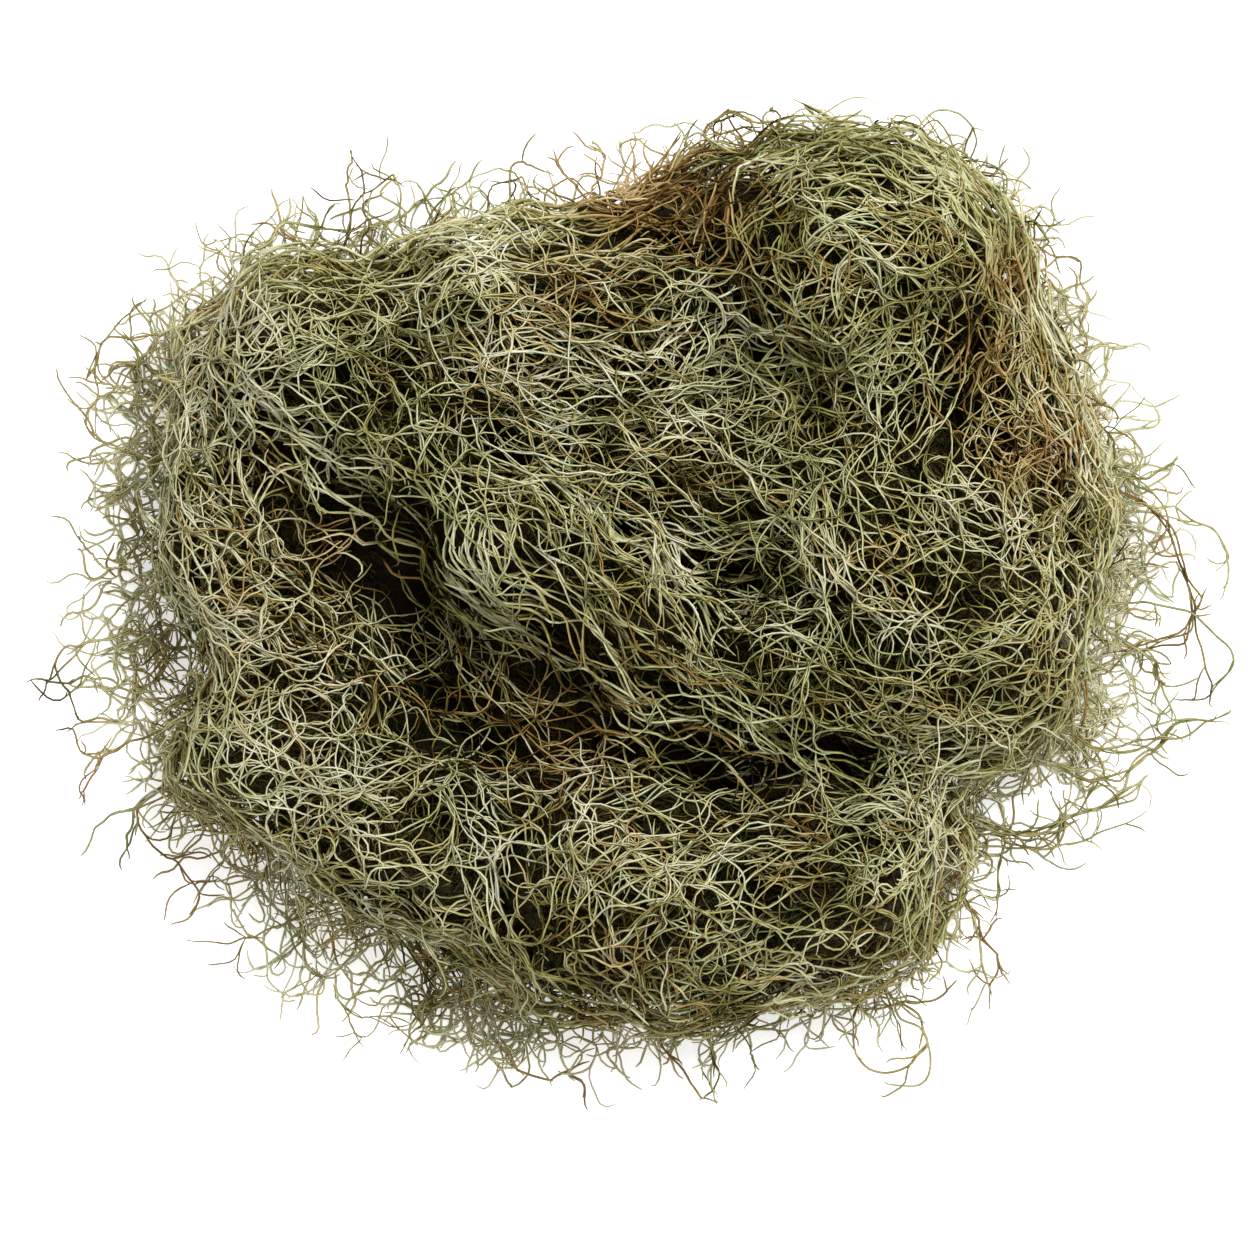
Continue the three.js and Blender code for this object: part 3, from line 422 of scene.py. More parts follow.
# Finer strays: points in the picture, in pixels, first height and last height in mm, how many side by side.
FINE_STRAYS = [
    ([(165, 335), (130, 338), (88, 340)], 24, 20, 1),
    ([(150, 300), (120, 320), (100, 350), (95, 390), (97, 440)], 26, 14, 1),
    ([(140, 395), (90, 382), (67, 378)], 22, 18, 1),
    ([(140, 450), (110, 445), (88, 430), (75, 400)], 20, 12, 1),
    ([(205, 300), (200, 270), (208, 245), (220, 233)], 26, 22, 1),
    ([(235, 300), (230, 260), (237, 235), (260, 240), (275, 262)], 26, 20, 1),
    ([(235, 290), (245, 262), (270, 240), (285, 225), (320, 225), (345, 235)], 30, 24, 2),
    ([(352, 260), (350, 225), (345, 205), (349, 165), (347, 142)], 26, 16, 1),
    ([(405, 250), (400, 205), (396, 172), (385, 178), (357, 161)], 28, 16, 1),
    ([(360, 250), (368, 215), (372, 192), (388, 178)], 26, 18, 1),
    ([(430, 230), (450, 192), (465, 198)], 26, 18, 1),
    ([(480, 225), (495, 185), (520, 175), (545, 205)], 28, 22, 1),
    ([(510, 215), (510, 185), (514, 165), (530, 162), (552, 180)], 30, 22, 1),
    ([(590, 200), (565, 175), (553, 162)], 26, 20, 1),
    ([(590, 200), (600, 175), (605, 150), (585, 140)], 30, 22, 1),
    ([(615, 200), (620, 170), (622, 150), (618, 135)], 30, 22, 1),
    ([(640, 180), (620, 148), (630, 137), (650, 140)], 28, 22, 1),
    ([(720, 180), (705, 165), (690, 150), (683, 140)], 28, 24, 1),
    ([(720, 160), (708, 135), (715, 118), (740, 112)], 36, 30, 2),
    ([(900, 150), (960, 150), (945, 135), (925, 112)], 40, 34, 1),
    ([(960, 175), (975, 155), (972, 130), (968, 140), (965, 160)], 36, 26, 1),
    ([(990, 225), (1010, 200), (1000, 170), (985, 165)], 34, 26, 1),
    ([(1020, 260), (1040, 255), (1048, 240), (1040, 222), (1020, 220)], 30, 22, 1),
    ([(1045, 275), (1060, 290), (1075, 298)], 26, 20, 1),
    ([(1050, 355), (1075, 345), (1092, 343)], 24, 18, 1),
    ([(1055, 400), (1090, 405), (1112, 404)], 22, 16, 1),
    ([(1070, 400), (1100, 420), (1115, 445), (1112, 470)], 22, 14, 1),
    ([(1060, 470), (1100, 460), (1140, 480), (1170, 470), (1185, 452)], 20, 8, 2),
    (
        [
            (1090, 480), (1150, 500), (1165, 530), (1180, 560), (1195, 600), (1190, 640), (1160, 650),
            (1110, 655),
        ],
        18, 5, 3,
    ),
    ([(1180, 560), (1195, 600), (1205, 650), (1215, 700), (1218, 715)], 8, 2, 1),
    ([(1090, 620), (1130, 640), (1155, 660), (1170, 700), (1175, 720)], 16, 4, 2),
    (
        [(1020, 720), (1070, 735), (1100, 750), (1140, 745), (1165, 730), (1200, 720), (1237, 715)],
        16, 3, 3,
    ),
    ([(1040, 760), (1090, 780), (1120, 780), (1150, 750), (1180, 730)], 14, 4, 3),
    ([(1100, 500), (1150, 515), (1200, 520), (1225, 535), (1232, 555), (1215, 575)], 16, 6, 1),
    ([(940, 800), (1000, 825), (1040, 835), (1080, 815), (1130, 790), (1150, 775)], 14, 5, 5),
    ([(940, 820), (1000, 840), (1045, 850), (1065, 830), (1055, 790)], 12, 5, 3),
    ([(960, 810), (1000, 840), (1003, 880), (990, 925)], 12, 5, 2),
    ([(950, 860), (970, 900), (975, 930), (985, 960), (995, 1005)], 12, 3, 2),
    ([(975, 930), (985, 960), (980, 1000), (967, 1030)], 8, 2, 1),
    ([(960, 900), (980, 930), (1015, 990)], 10, 2, 1),
    (
        [
            (880, 960), (900, 1000), (925, 1025), (925, 1045), (915, 1062), (890, 1073), (865, 1065),
            (855, 1040), (850, 1020),
        ],
        12, 5, 1,
    ),
    ([(860, 1010), (910, 1005), (940, 1000), (965, 980)], 9, 4, 1),
    ([(870, 940), (880, 975), (890, 1000), (900, 1020)], 12, 4, 2),
    ([(700, 1020), (720, 1075), (712, 1095), (697, 1105)], 8, 2, 1),
    ([(705, 1040), (714, 1090), (717, 1112)], 8, 2, 1),
    ([(740, 1020), (750, 1055), (765, 1075)], 8, 3, 1),
    ([(480, 1020), (485, 1055), (505, 1080), (515, 1095)], 10, 2, 1),
    ([(500, 1040), (520, 1075), (545, 1082), (565, 1075), (588, 1090)], 10, 2, 1),
    ([(330, 980), (340, 1010), (350, 1030), (370, 1045)], 8, 2, 1),
    ([(330, 990), (345, 1013), (375, 1020), (405, 1000)], 9, 4, 1),
    ([(340, 1010), (350, 1000), (365, 980), (385, 965)], 8, 5, 1),
    ([(300, 900), (300, 920), (305, 960), (320, 990)], 10, 4, 4),
    ([(250, 860), (270, 900), (262, 950), (270, 985), (290, 1000)], 9, 3, 1),
    ([(225, 880), (235, 920), (250, 940), (275, 955)], 10, 4, 1),
    ([(230, 850), (215, 870), (195, 895)], 10, 5, 1),
    ([(180, 790), (135, 815), (140, 840), (170, 860), (192, 890), (190, 915), (165, 933)], 14, 3, 1),
    ([(165, 780), (135, 810), (123, 845), (125, 860)], 12, 3, 1),
    ([(190, 790), (140, 805), (110, 815), (88, 832)], 14, 3, 1),
    ([(180, 720), (140, 740), (95, 757), (70, 755)], 14, 6, 1),
    ([(130, 740), (95, 760), (90, 780), (75, 800)], 10, 3, 1),
    ([(150, 630), (130, 630), (100, 640), (60, 650), (55, 680), (65, 700), (75, 720)], 14, 4, 1),
    ([(170, 690), (140, 695), (100, 678), (70, 680), (20, 683)], 16, 3, 1),
    ([(130, 560), (100, 570), (85, 545), (75, 530)], 16, 8, 1),
    ([(140, 620), (110, 640), (80, 642), (62, 655)], 16, 6, 1),
]


# ---- helpers ---------------------------------------------------------------------------------------
rng = np.random.default_rng(SEED)


def unit(vectors):
    """Vectors of length 1 along the last axis."""
    return vectors / np.maximum(np.linalg.norm(vectors, axis=-1, keepdims=True), 1e-9)


def from_picture(pixels):
    """Places in plan, in mm, of pixels of the picture."""
    return (np.asarray(pixels, float) - ORIGIN_PIXEL) * (PIXEL, -PIXEL)


def spread(low, high, count):
    """Even random values from low to high."""
    return rng.uniform(low, high, count)


def either_way(count):
    """1 or -1 for each strand."""
    return np.where(rng.random(count) < 0.5, -1.0, 1.0)


def upward(count):
    """The direction up, for each strand."""
    return np.tile((0.0, 0.0, 1.0), (count, 1))


def along_surface(heading, normal):
    """Headings bent into the surface, at length 1."""
    return unit(heading - (heading * normal).sum(-1, keepdims=True) * normal)


def fade(away, reach):
    """1 at no distance, and next to nothing at twice the reach."""
    return np.exp(-((away / reach) ** 2))


def stretches(points):
    """The straight stretches of a line in the picture: start and end in plan."""
    line = from_picture(points)
    return list(zip(line[:-1], line[1:]))


# ---- fields over the plan: the lay, and how far the close strands are set in -----------------------
CELL = 1.5  # the width of one cell of a field
FIELD_LOW = np.array([-162.0, -134.0])
FIELD_CELLS = (217, 180)
LAY_REACH = 2.0  # how far to each side a lay combs, in its own half widths
FIRM_COUNT = 20  # a lay of this many strands combs with weight 1
LOOSE = 0.5  # the weight, against that, of not being combed at all
HOLLOW_DEPTH = 11.0  # how far the strands dip in a dark spot of strength 1
EDGE_LIGHT_REACH = 10.0  # how far light gets in from the side, in mm
POCKET_NUMBER = 130  # small dark gaps between the strands, anywhere in the bunch, where strands dip and deep ones get painted shade
POCKET_X = (190, 1050)  # where they lie in the picture, in pixels
POCKET_Y = (170, 980)
POCKET_RADIUS = (11, 24)
POCKET_STRENGTH = (0.12, 0.45)


def field_places():
    """The place in plan of each cell."""
    x = FIELD_LOW[0] + CELL * np.arange(FIELD_CELLS[0])
    y = FIELD_LOW[1] + CELL * np.arange(FIELD_CELLS[1])
    return np.stack(np.meshgrid(x, y, indexing="ij"), axis=-1)


PLACES = field_places()


def stretch_distance(start, end):
    """Distance in plan of each cell from a straight stretch."""
    along = end - start
    share = np.clip(((PLACES - start) @ along) / (along @ along), 0, 1)
    return np.linalg.norm(PLACES - (start + share[..., None] * along), axis=-1)


def spot_strength(spots):
    """For each cell, how strongly round spots of the picture act on it."""
    strength = np.zeros(FIELD_CELLS)
    for x, y, radius, most in spots:
        away = np.linalg.norm(PLACES - from_picture([(x, y)])[0], axis=-1)
        strength = np.maximum(strength, most * fade(away, radius * PIXEL))
    return strength


def lay_field():
    """For each cell, the doubled angle's cosine and sine, as long as the place is firmly combed."""
    pull = np.zeros((*FIELD_CELLS, 2))
    total = np.zeros(FIELD_CELLS)
    for points, width, count, *_ in LAYS.values():
        for start, end in stretches(points):
            weight = fade(stretch_distance(start, end), LAY_REACH * width) * (count / FIRM_COUNT)
            angle = 2 * math.atan2(end[1] - start[1], end[0] - start[0])
            pull += weight[..., None] * np.array([math.cos(angle), math.sin(angle)])
            total += weight
    return pull / (total + LOOSE)[..., None]


def inset_field():
    """For each cell, how much further in the close strands lie because of a thin edge, in mm."""
    inset = np.zeros(FIELD_CELLS)
    for points, reach, most in THIN_EDGES.values():
        for start, end in stretches(points):
            inset = np.maximum(inset, most * fade(stretch_distance(start, end), reach))
    return inset


def edge_field():
    """For each cell, how much of the light there comes in from the side: 1 at the edge of the bunch."""
    line = THIN_EDGES["all_round"][0]
    away = np.min([stretch_distance(start, end) for start, end in stretches(line)], axis=0)
    return fade(away, EDGE_LIGHT_REACH)


def pockets():
    """Small dark spots strewn over the bunch: x, y, radius and strength, as in DARK_SPOTS."""
    extents = (POCKET_X, POCKET_Y, POCKET_RADIUS, POCKET_STRENGTH)
    return list(zip(*[spread(*extent, POCKET_NUMBER) for extent in extents]))


LAY_FIELD = lay_field()
INSET_FIELD = inset_field()
EDGE_FIELD = edge_field()
THIN_FIELD = spot_strength(DARK_SPOTS)
# Dark spots and pockets: where strands dip, and where deep strands and the dark inside get painted shade.
DARK_FIELD = spot_strength(DARK_SPOTS + pockets())
PALE_FIELD = spot_strength(PALE_SPOTS) - spot_strength(DULL_SPOTS)
BROWN_FIELD = spot_strength(BROWN_SPOTS)
HOLLOW_FIELD = HOLLOW_DEPTH * DARK_FIELD


def cell_of(points):
    """Which cell of the fields each point lies in."""
    cell = np.rint((points[..., :2] - FIELD_LOW) / CELL).astype(int)
    cell = np.clip(cell, 0, np.array(FIELD_CELLS) - 1)
    return cell[..., 0], cell[..., 1]


def lay_at(points):
    """The combed direction in plan at each point, and how firmly it is combed, 0 to 1."""
    pull = LAY_FIELD[cell_of(points)]
    angle = np.arctan2(pull[:, 1], pull[:, 0]) / 2
    flat = np.stack([np.cos(angle), np.sin(angle), np.zeros(len(angle))], axis=1)
    return flat, np.linalg.norm(pull, axis=1)


# ---- the surface of the bunch ----------------------------------------------------------------------
class Puffs:
    """All the puffs as arrays, with the wad that each belongs to."""

    rows = np.array([puff for wad in WADS.values() for puff in wad["puffs"]], float)
    wad = np.array([i for i, wad in enumerate(WADS.values()) for _ in wad["puffs"]])
    centre = rows[:, :3]
    half = rows[:, 3:6]
    turn = np.radians(rows[:, 6])


class Ripples:
    """Waves that make the surface uneven: long swells and short lumps."""

    swells, lumps = 7, 9
    steepness = 0.6  # how much of their run is up and down, against sideways
    length = np.concatenate([spread(34, 60, swells), spread(13, 24, lumps)])
    height = np.repeat([0.85, 0.50], [swells, lumps])
    run = unit(rng.normal(size=(len(length), 3)) * (1, 1, steepness))
    vector = run * (FULL_TURN / length)[:, None]
    phase = spread(0, FULL_TURN, len(length))


def ripple(points):
    """How far the waves move the surface at each point."""
    return np.sin(points @ Ripples.vector.T + Ripples.phase) @ Ripples.height


def about_z(local, turn):
    """Turns vectors of a puff's own frame into the bunch's."""
    cosine, sine = np.cos(turn), np.sin(turn)
    return np.stack(
        [
            local[..., 0] * cosine - local[..., 1] * sine,
            local[..., 0] * sine + local[..., 1] * cosine,
            local[..., 2],
        ],
        axis=-1,
    )


def puff_distances(points):
    """How far each point lies outside each puff, and the outward direction there."""
    local = about_z(points[:, None, :] - Puffs.centre[None], -Puffs.turn)
    scaled = np.linalg.norm(local / Puffs.half, axis=-1)
    slope = local / Puffs.half**2
    steep = np.maximum(np.linalg.norm(slope, axis=-1), 1e-6)
    distance = scaled * (scaled - 1) / steep
    return distance, about_z(slope / steep[..., None], Puffs.turn)


CLEFT_FILL = 0.85  # how far soft strands fill the clefts between puffs
BRIDGING = 11.0  # strands about this soft lie across a hollow, harder ones dip into it
HARDEST_SAG = 1.35  # the share of a hollow's depth that the hardest strand would dip
SAG_SHARES = (0.3, 1)  # and the limits of that share


def surface(points, softness):
    """Distance from the whole bunch and its outward direction. softness rounds the clefts over, in mm."""
    softness = np.broadcast_to(softness, len(points))
    distance, outward = puff_distances(points)
    nearest = distance.min(axis=1)
    weight = np.exp(-(distance - nearest[:, None]) / softness[:, None])
    total = weight.sum(axis=1)
    blended = nearest - CLEFT_FILL * softness * np.log(total)
    normal = unit((weight[..., None] * outward).sum(axis=1))
    cell = cell_of(points)
    sag = np.clip(HARDEST_SAG - softness / BRIDGING, *SAG_SHARES)
    return blended + ripple(points) + INSET_FIELD[cell] + sag * HOLLOW_FIELD[cell], normal


WAIST = 16.0  # the height at which the outline of the bunch is taken
SKIRT_FOOT = 1.0  # the height of the net far out
SKIRT_TOP = 11.0  # how much higher it lies against the bunch
SKIRT_START = 4.0  # how far inside the outline it begins to fall
SKIRT_FALL = 6.0  # how far out it takes to fall


def skirt(points, softness):
    """Height above the low sheet that the net lies on, and its direction, which is up."""
    waist = points * (1, 1, 0) + (0, 0, WAIST)
    outside, _ = surface(waist, softness)
    height = SKIRT_FOOT + SKIRT_TOP * np.exp(-np.clip(outside + SKIRT_START, 0, None) / SKIRT_FALL)
    return points[:, 2] - height, upward(len(points))


def nearest_wad(points):
    """The number of the wad that each point lies nearest to."""
    distance, _ = puff_distances(points)
    return Puffs.wad[distance.argmin(axis=1)]


def wad_values(wad, key):
    """One value of WADS for each strand."""
    return np.array([values[key] for values in WADS.values()])[wad]


# ---- how strands grow ------------------------------------------------------------------------------
CURL_REACH = 3.6  # a strand keeps its bend for about this far
BIAS = 0.22  # the share of its bend that a strand keeps all along
SHARED_BEND = 0.85  # how much of its bends a strand has from its group
CALM = 0.45  # how much less strands bend where they are firmly combed
WIGGLE = 1.3  # how sharply a strand snakes from side to side, against its other bends
SNAKE_LENGTH = (7, 15)  # of its way from side to side
WAVE_LENGTH = (14, 38)  # of its way in and out
KINK_CHANCE = 0.10  # of a sharp turn at each step
KINK_TURN = 0.5
LEVEL_PULL = 0.7  # the share of the way to its level that a strand moves at a step
LEVEL_LIMIT = 2.1  # and how far it looks for its level at most
ROOT_MOVES = 3  # how often a root is moved to its level
MOST_HOLD = 0.9  # how firmly a strand keeps to the lay at most
FLOOR_SPREAD = 0.4  # how unevenly strands lie on the floor
FLOOR_GLANCE = 0.2  # the share of its fall that a strand keeps when it meets the floor

# How the strands of each kind grow. radius: their thickness. unevenness: how far their tone varies. rings:
# how many they have. step: how far apart those are. curl: how sharply they bend, in 1/mm. hold: how firmly
# they keep to the lay. wave: how far they weave in and out. fan: how far their first heading strays, in
# radians. level: how far off the surface they lie. rise: how much further off they get for each mm. Pairs
# are from and to.
FIELDS = "radius unevenness rings step curl hold wave fan level rise"
Kind = collections.namedtuple("Kind", FIELDS, defaults=[None] * 8)
STEM = Kind(
    radius=(0.27, 0.38), unevenness=0.09, rings=(10, 24), step=2.4, curl=0.14, hold=0.13, wave=(0.4, 2.2),
    fan=0.75,
)
FLANK_THREAD = Kind(
    radius=(0.29, 0.40), unevenness=0.09, rings=(9, 19), step=2.4, curl=0.16, hold=0.0, wave=(0.3, 2.0),
    fan=1.0, level=(-4.0, 0.8),
)
SWATH = Kind(
    radius=(0.29, 0.39), unevenness=0.06, rings=(6, 18), step=2.4, curl=0.12, hold=0.26, wave=(0.3, 1.5),
    fan=0.16, level=(-0.8, 1.4),
)
NET = Kind(
    radius=(0.24, 0.37), unevenness=0.08, rings=(7, 15), step=1.8, curl=0.28, hold=0.03, wave=(0, 1.2),
    level=(-0.4, 1.0),
)
HEM = Kind(
    radius=(0.26, 0.36), unevenness=0.08, rings=(6, 15), step=1.8, curl=0.22, hold=0.0, wave=(0.2, 1.4),
    level=(-1.0, 1.0), rise=(0.0, 0.35),
)
FLYAWAY = Kind(
    radius=(0.20, 0.34), unevenness=0.08, rings=(5, 15), step=1.8, curl=0.20, hold=0.0, wave=(0, 1.5),
    fan=1.2, level=-4.0, rise=(0.15, 0.75),
)
STRAY = Kind(radius=(0.24, 0.36), unevenness=0.07)
# These branch off other strands: their thickness is against that of their carrier, and so is a leaf's level.
LEAF = Kind(
    radius=(0.82, 1.0), unevenness=0.06, rings=(6, 15), step=1.8, curl=0.20, hold=0.10, wave=(0.2, 1.8),
    fan=(0.2, 1.0), level=(-2.4, 2.4), rise=(0.1, 0.4),
)
WHISKER = Kind(
    radius=0.85, unevenness=0.0, rings=(4, 10), step=1.8, curl=0.22, hold=0.0, wave=(0, 0.7),
    fan=(0.3, 1.2), level=0.0,
)


class Strands:
    """A batch of strands: where they run, how many rings each has, and how they look.

    course: the place of each ring of each strand, how far off the surface it is, and which way is out.
    """

    def __init__(self, course, count, radius, tone, warmth, hue, wad, clinging=1.0):
        self.paths, self.depths, self.ups = course
        self.clinging = clinging  # how far they are drawn to their neighbours, against most strands
        self.count = count
        self.radius = radius
        self.tone = tone
        self.warmth = warmth
        self.hue = hue
        self.wad = wad


def grow(
    kind, root, heading, level, count, softness, wave,
    curliness=1.0, rise=0.0, group=None, ground=surface,
):
    """Runs strands over the ground, each near its own level off it. The ground is the bunch or the skirt.

    count: how many rings each has. softness: how wide a cleft they bridge, in mm. curliness: how sharply
    they bend, against others of their kind. rise: how much further off the surface they get for each mm.
    group: strands of one group bend alike.
    """
    step, curl = kind.step, kind.curl * curliness
    number = len(root)
    rings = int(count.max())
    paths = np.zeros((number, rings, 3))
    ups = np.zeros((number, rings, 3))
    depths = np.zeros((number, rings))
    point = root.copy()
    wave_length = spread(*WAVE_LENGTH, number)
    wave_phase = spread(0, FULL_TURN, number)
    snake_length = spread(*SNAKE_LENGTH, number)
    snake_phase = spread(0, FULL_TURN, number)
    group = np.arange(number) if group is None else group
    groups = int(group.max()) + 1
    shared = 0.0 if groups == number else SHARED_BEND
    own = math.sqrt(1 - shared**2)
    kept_bend = math.exp(-step / CURL_REACH)
    bias = BIAS * curl * (shared * rng.normal(size=groups)[group] + own * rng.normal(size=number))
    bend = np.zeros(number)
    _, normal = ground(point, softness)
    heading = along_surface(heading, normal)
    for ring in range(rings):
        gone = ring * step
        wanted = level + rise * gone + wave * np.sin(FULL_TURN * gone / wave_length + wave_phase)
        for _ in range(1 if ring else ROOT_MOVES):
            distance, normal = ground(point, softness)
            off = np.clip(wanted - distance, -LEVEL_LIMIT, LEVEL_LIMIT)
            point = point + normal * (off * LEVEL_PULL)[:, None]
        low = point[:, 2] < FLOOR_GAP
        point[low, 2] = FLOOR_GAP + FLOOR_SPREAD * rng.random(low.sum())
        paths[:, ring] = point
        ups[:, ring] = normal
        depths[:, ring] = distance
        lay, firm = lay_at(point)
        lay = lay * np.sign((lay * heading).sum(1) + 1e-9)[:, None]
        heading = heading + (lay - heading) * np.clip(kind.hold * firm, 0, MOST_HOLD)[:, None]
        push = shared * rng.normal(size=groups)[group] + own * rng.normal(size=number)
        bend = kept_bend * bend + math.sqrt(1 - kept_bend**2) * curl * push
        kink = (rng.random(number) < KINK_CHANCE) * rng.normal(0, KINK_TURN, number)
        snake = WIGGLE * curl * np.sin(FULL_TURN * gone / snake_length + snake_phase)
        turn = ((bend + bias) * (1 - CALM * firm) + snake) * step + kink
        heading = heading + np.cross(normal, heading) * turn[:, None]
        heading = along_surface(heading, normal)
        heading[low & (heading[:, 2] < 0), 2] *= FLOOR_GLANCE
        point = point + unit(heading) * step
    return smoothed(paths), depths, ups


def smoothed(paths):
    """Takes the kinks out of paths, with their ends kept."""
    inner = (paths[:, :-2] + 4 * paths[:, 1:-1] + paths[:, 2:]) / 6
    return np.concatenate([paths[:, :1], inner, paths[:, -1:]], axis=1)


def turned(heading, normal, angle):
    """Headings turned about the surface's outward direction."""
    side = np.cross(normal, heading)
    return unit(heading * np.cos(angle)[:, None] + side * np.sin(angle)[:, None])


def brownness(chance, brown=(0.45, 1.0), live=(0.0, 0.28)):
    """How brown each strand is: some are brown, with this chance, and the others only a little."""
    number = len(chance)
    is_brown = rng.random(number) < chance
    return np.where(is_brown, spread(*brown, number), spread(*live, number))


def dressed(kind, course, count, wad, tone, brown_chance, hue=(0, 1), clinging=1.0):
    """A batch of strands whose thickness, tone, brownness and hue are drawn one by one."""
    number = len(count)
    return Strands(
        course, count,
        radius=spread(*kind.radius, number),
        tone=tone + rng.normal(0, kind.unevenness, number),
        warmth=brownness(np.broadcast_to(brown_chance, number)),
        hue=spread(*hue, number),
        wad=wad,
        clinging=clinging,
    )


DARK_THINNING = 0.62  # how many fewer strands start in a dark spot of strength 1
THINNING_GAIN = 1.3  # a weaker spot thins them out by more than its strength
FLANK_SHARE = 0.17  # how many strands start on a steep flank, against a level top
FLANK_STEEPNESS = 2  # how soon a flank counts as steep when only flanks are wanted
OUTER_FLANK = 0.02  # flanks count as outer ones where the edge field is more than this
TRIES = 22  # places looked at for each root
ROOT_DEPTH = 3.0  # how deep inside a neighbouring puff a root may lie
LOWEST_ROOT = 5.0


def lit_chance(points):
    """The share of strands that start at each point even though the place is dark."""
    return 1 - DARK_THINNING * np.clip(THINNING_GAIN * THIN_FIELD[cell_of(points)], 0, 1)


def surface_roots(number, outer_flanks=False):
    """Places over the outside of the bunch, with fewer on its flanks, or on its outer flanks alone."""
    candidates = number * TRIES
    area = Puffs.half[:, 0] * Puffs.half[:, 1] + Puffs.half[:, 2] * Puffs.half[:, :2].sum(1)
    area *= np.array([wad.get("crowd", 1.0) for wad in WADS.values()])[Puffs.wad]
    puff = rng.choice(len(area), candidates, p=area / area.sum())
    direction = unit(rng.normal(size=(candidates, 3)))
    point = Puffs.centre[puff] + about_z(direction * Puffs.half[puff], Puffs.turn[puff])
    distance, outward = puff_distances(point)
    outside = (distance.min(axis=1) > -ROOT_DEPTH) & (point[:, 2] > LOWEST_ROOT)
    facing = outward[np.arange(candidates), distance.argmin(axis=1), 2]
    level = np.clip(facing, 0, 1)
    if outer_flanks:
        chance = np.clip(1 - FLANK_STEEPNESS * level, 0, 1) * (EDGE_FIELD[cell_of(point)] > OUTER_FLANK)
    else:
        chance = (FLANK_SHARE + (1 - FLANK_SHARE) * level) * lit_chance(point)
    kept = outside & (rng.random(candidates) < chance)
    return point[kept][:number]


LOOSE_SHADE = 0.09  # how much darker strands are where nothing combs them
DEEP_WARMTH = 0.014  # how many more stems are brown for each mm of depth
DIPPING_SHARE = 0.6  # the share of the stems that dip into clefts
DIPPING, BRIDGED = 4.0, 9.0  # the softness of those and of the others
FLANK_SOFTNESS = 6.0  # of the strands on the flanks and round the foot

# Layers of the tangle: share of the strands, level from and to.
LAYERS = np.array([(0.34, -1.8, 1.0), (0.40, -5.2, -1.8), (0.26, -8.8, -5.2)])


def grow_stems(number):
    """The long threads of the tangle, in layers, from the outside down to the dark inside."""
    root = surface_roots(number)
    number = len(root)
    layer = LAYERS[rng.choice(len(LAYERS), number, p=LAYERS[:, 0])]
    level = layer[:, 1] + spread(0, 1, number) * (layer[:, 2] - layer[:, 1])
    wad = nearest_wad(root)
    lay, firm = lay_at(root)
    softness = np.where(rng.random(number) < 1 - DIPPING_SHARE, BRIDGED, DIPPING)
    _, normal = surface(root, softness)
    heading = turned(lay, normal, rng.normal(0, STEM.fan, number) + math.pi * rng.integers(0, 2, number))
    count = rng.integers(*STEM.rings, number)
    wave = spread(*STEM.wave, number)
    course = grow(STEM, root, heading, level, count, softness, wave, wad_values(wad, "curl"))
    tone = wad_values(wad, "tone") - LOOSE_SHADE * (1 - firm)
    brown_chance = wad_values(wad, "warmth") - DEEP_WARMTH * level
    stems = dressed(STEM, course, count, wad, tone, brown_chance)
    stems.level = level
    stems.softness = softness
    return stems


BRANCHING = (0.06, 0.94)  # where along a stem leaves start
LEAF_LEVELS = (-9, 2.4)  # the limits of their levels
TIP_SHARE = 0.3  # the share of the leaves whose tips stand off the surface


def grow_leaves(stems, number):
    """Shorter, curlier threads that branch off the stems in pairs, one to each side."""
    stem = rng.integers(0, len(stems.count), number)
    place = (spread(*BRANCHING, number) * (stems.count[stem] - 2)).astype(int)
    lit = rng.random(number) < lit_chance(stems.paths[stem, place])
    pairs = number // 2
    stem = np.repeat(stem[lit][:pairs], 2)
    place = np.repeat(place[lit][:pairs], 2)
    number = len(stem)
    root = stems.paths[stem, place]
    along = unit(stems.paths[stem, place + 1] - root)
    softness = stems.softness[stem]
    _, normal = surface(root, softness)
    side = np.tile([-1.0, 1.0], number // 2)
    heading = turned(along, normal, side * spread(*LEAF.fan, number))
    heading = heading * np.repeat(either_way(number // 2), 2)[:, None]
    wad = stems.wad[stem]
    count = rng.integers(*LEAF.rings, number)
    level = np.clip(stems.level[stem] + spread(*LEAF.level, number), *LEAF_LEVELS)
    rise = np.where(rng.random(number) < TIP_SHARE, spread(*LEAF.rise, number), 0.0)
    wave = spread(*LEAF.wave, number)
    course = grow(LEAF, root, heading, level, count, softness, wave, wad_values(wad, "curl"), rise)
    course[0][:, 0] = root
    return Strands(
        course, count,
        radius=stems.radius[stem] * spread(*LEAF.radius, number),
        tone=stems.tone[stem] + rng.normal(0, LEAF.unevenness, number),
        warmth=stems.warmth[stem],
        hue=stems.hue[stem],
        wad=wad,
    )


def grow_flank_threads(number):
    """Long threads that hang down the outer flanks, where few stems start."""
    root = surface_roots(number, outer_flanks=True)
    number = len(root)
    wad = nearest_wad(root)
    _, normal = surface(root, FLANK_SOFTNESS)
    down = along_surface(-upward(number), normal)
    heading = turned(down, normal, rng.normal(0, FLANK_THREAD.fan, number))
    count = rng.integers(*FLANK_THREAD.rings, number)
    level = spread(*FLANK_THREAD.level, number)
    wave = spread(*FLANK_THREAD.wave, number)
    curliness = wad_values(wad, "curl")
    course = grow(FLANK_THREAD, root, heading, level, count, FLANK_SOFTNESS, wave, curliness)
    return dressed(FLANK_THREAD, course, count, wad, wad_values(wad, "tone"), wad_values(wad, "warmth"))


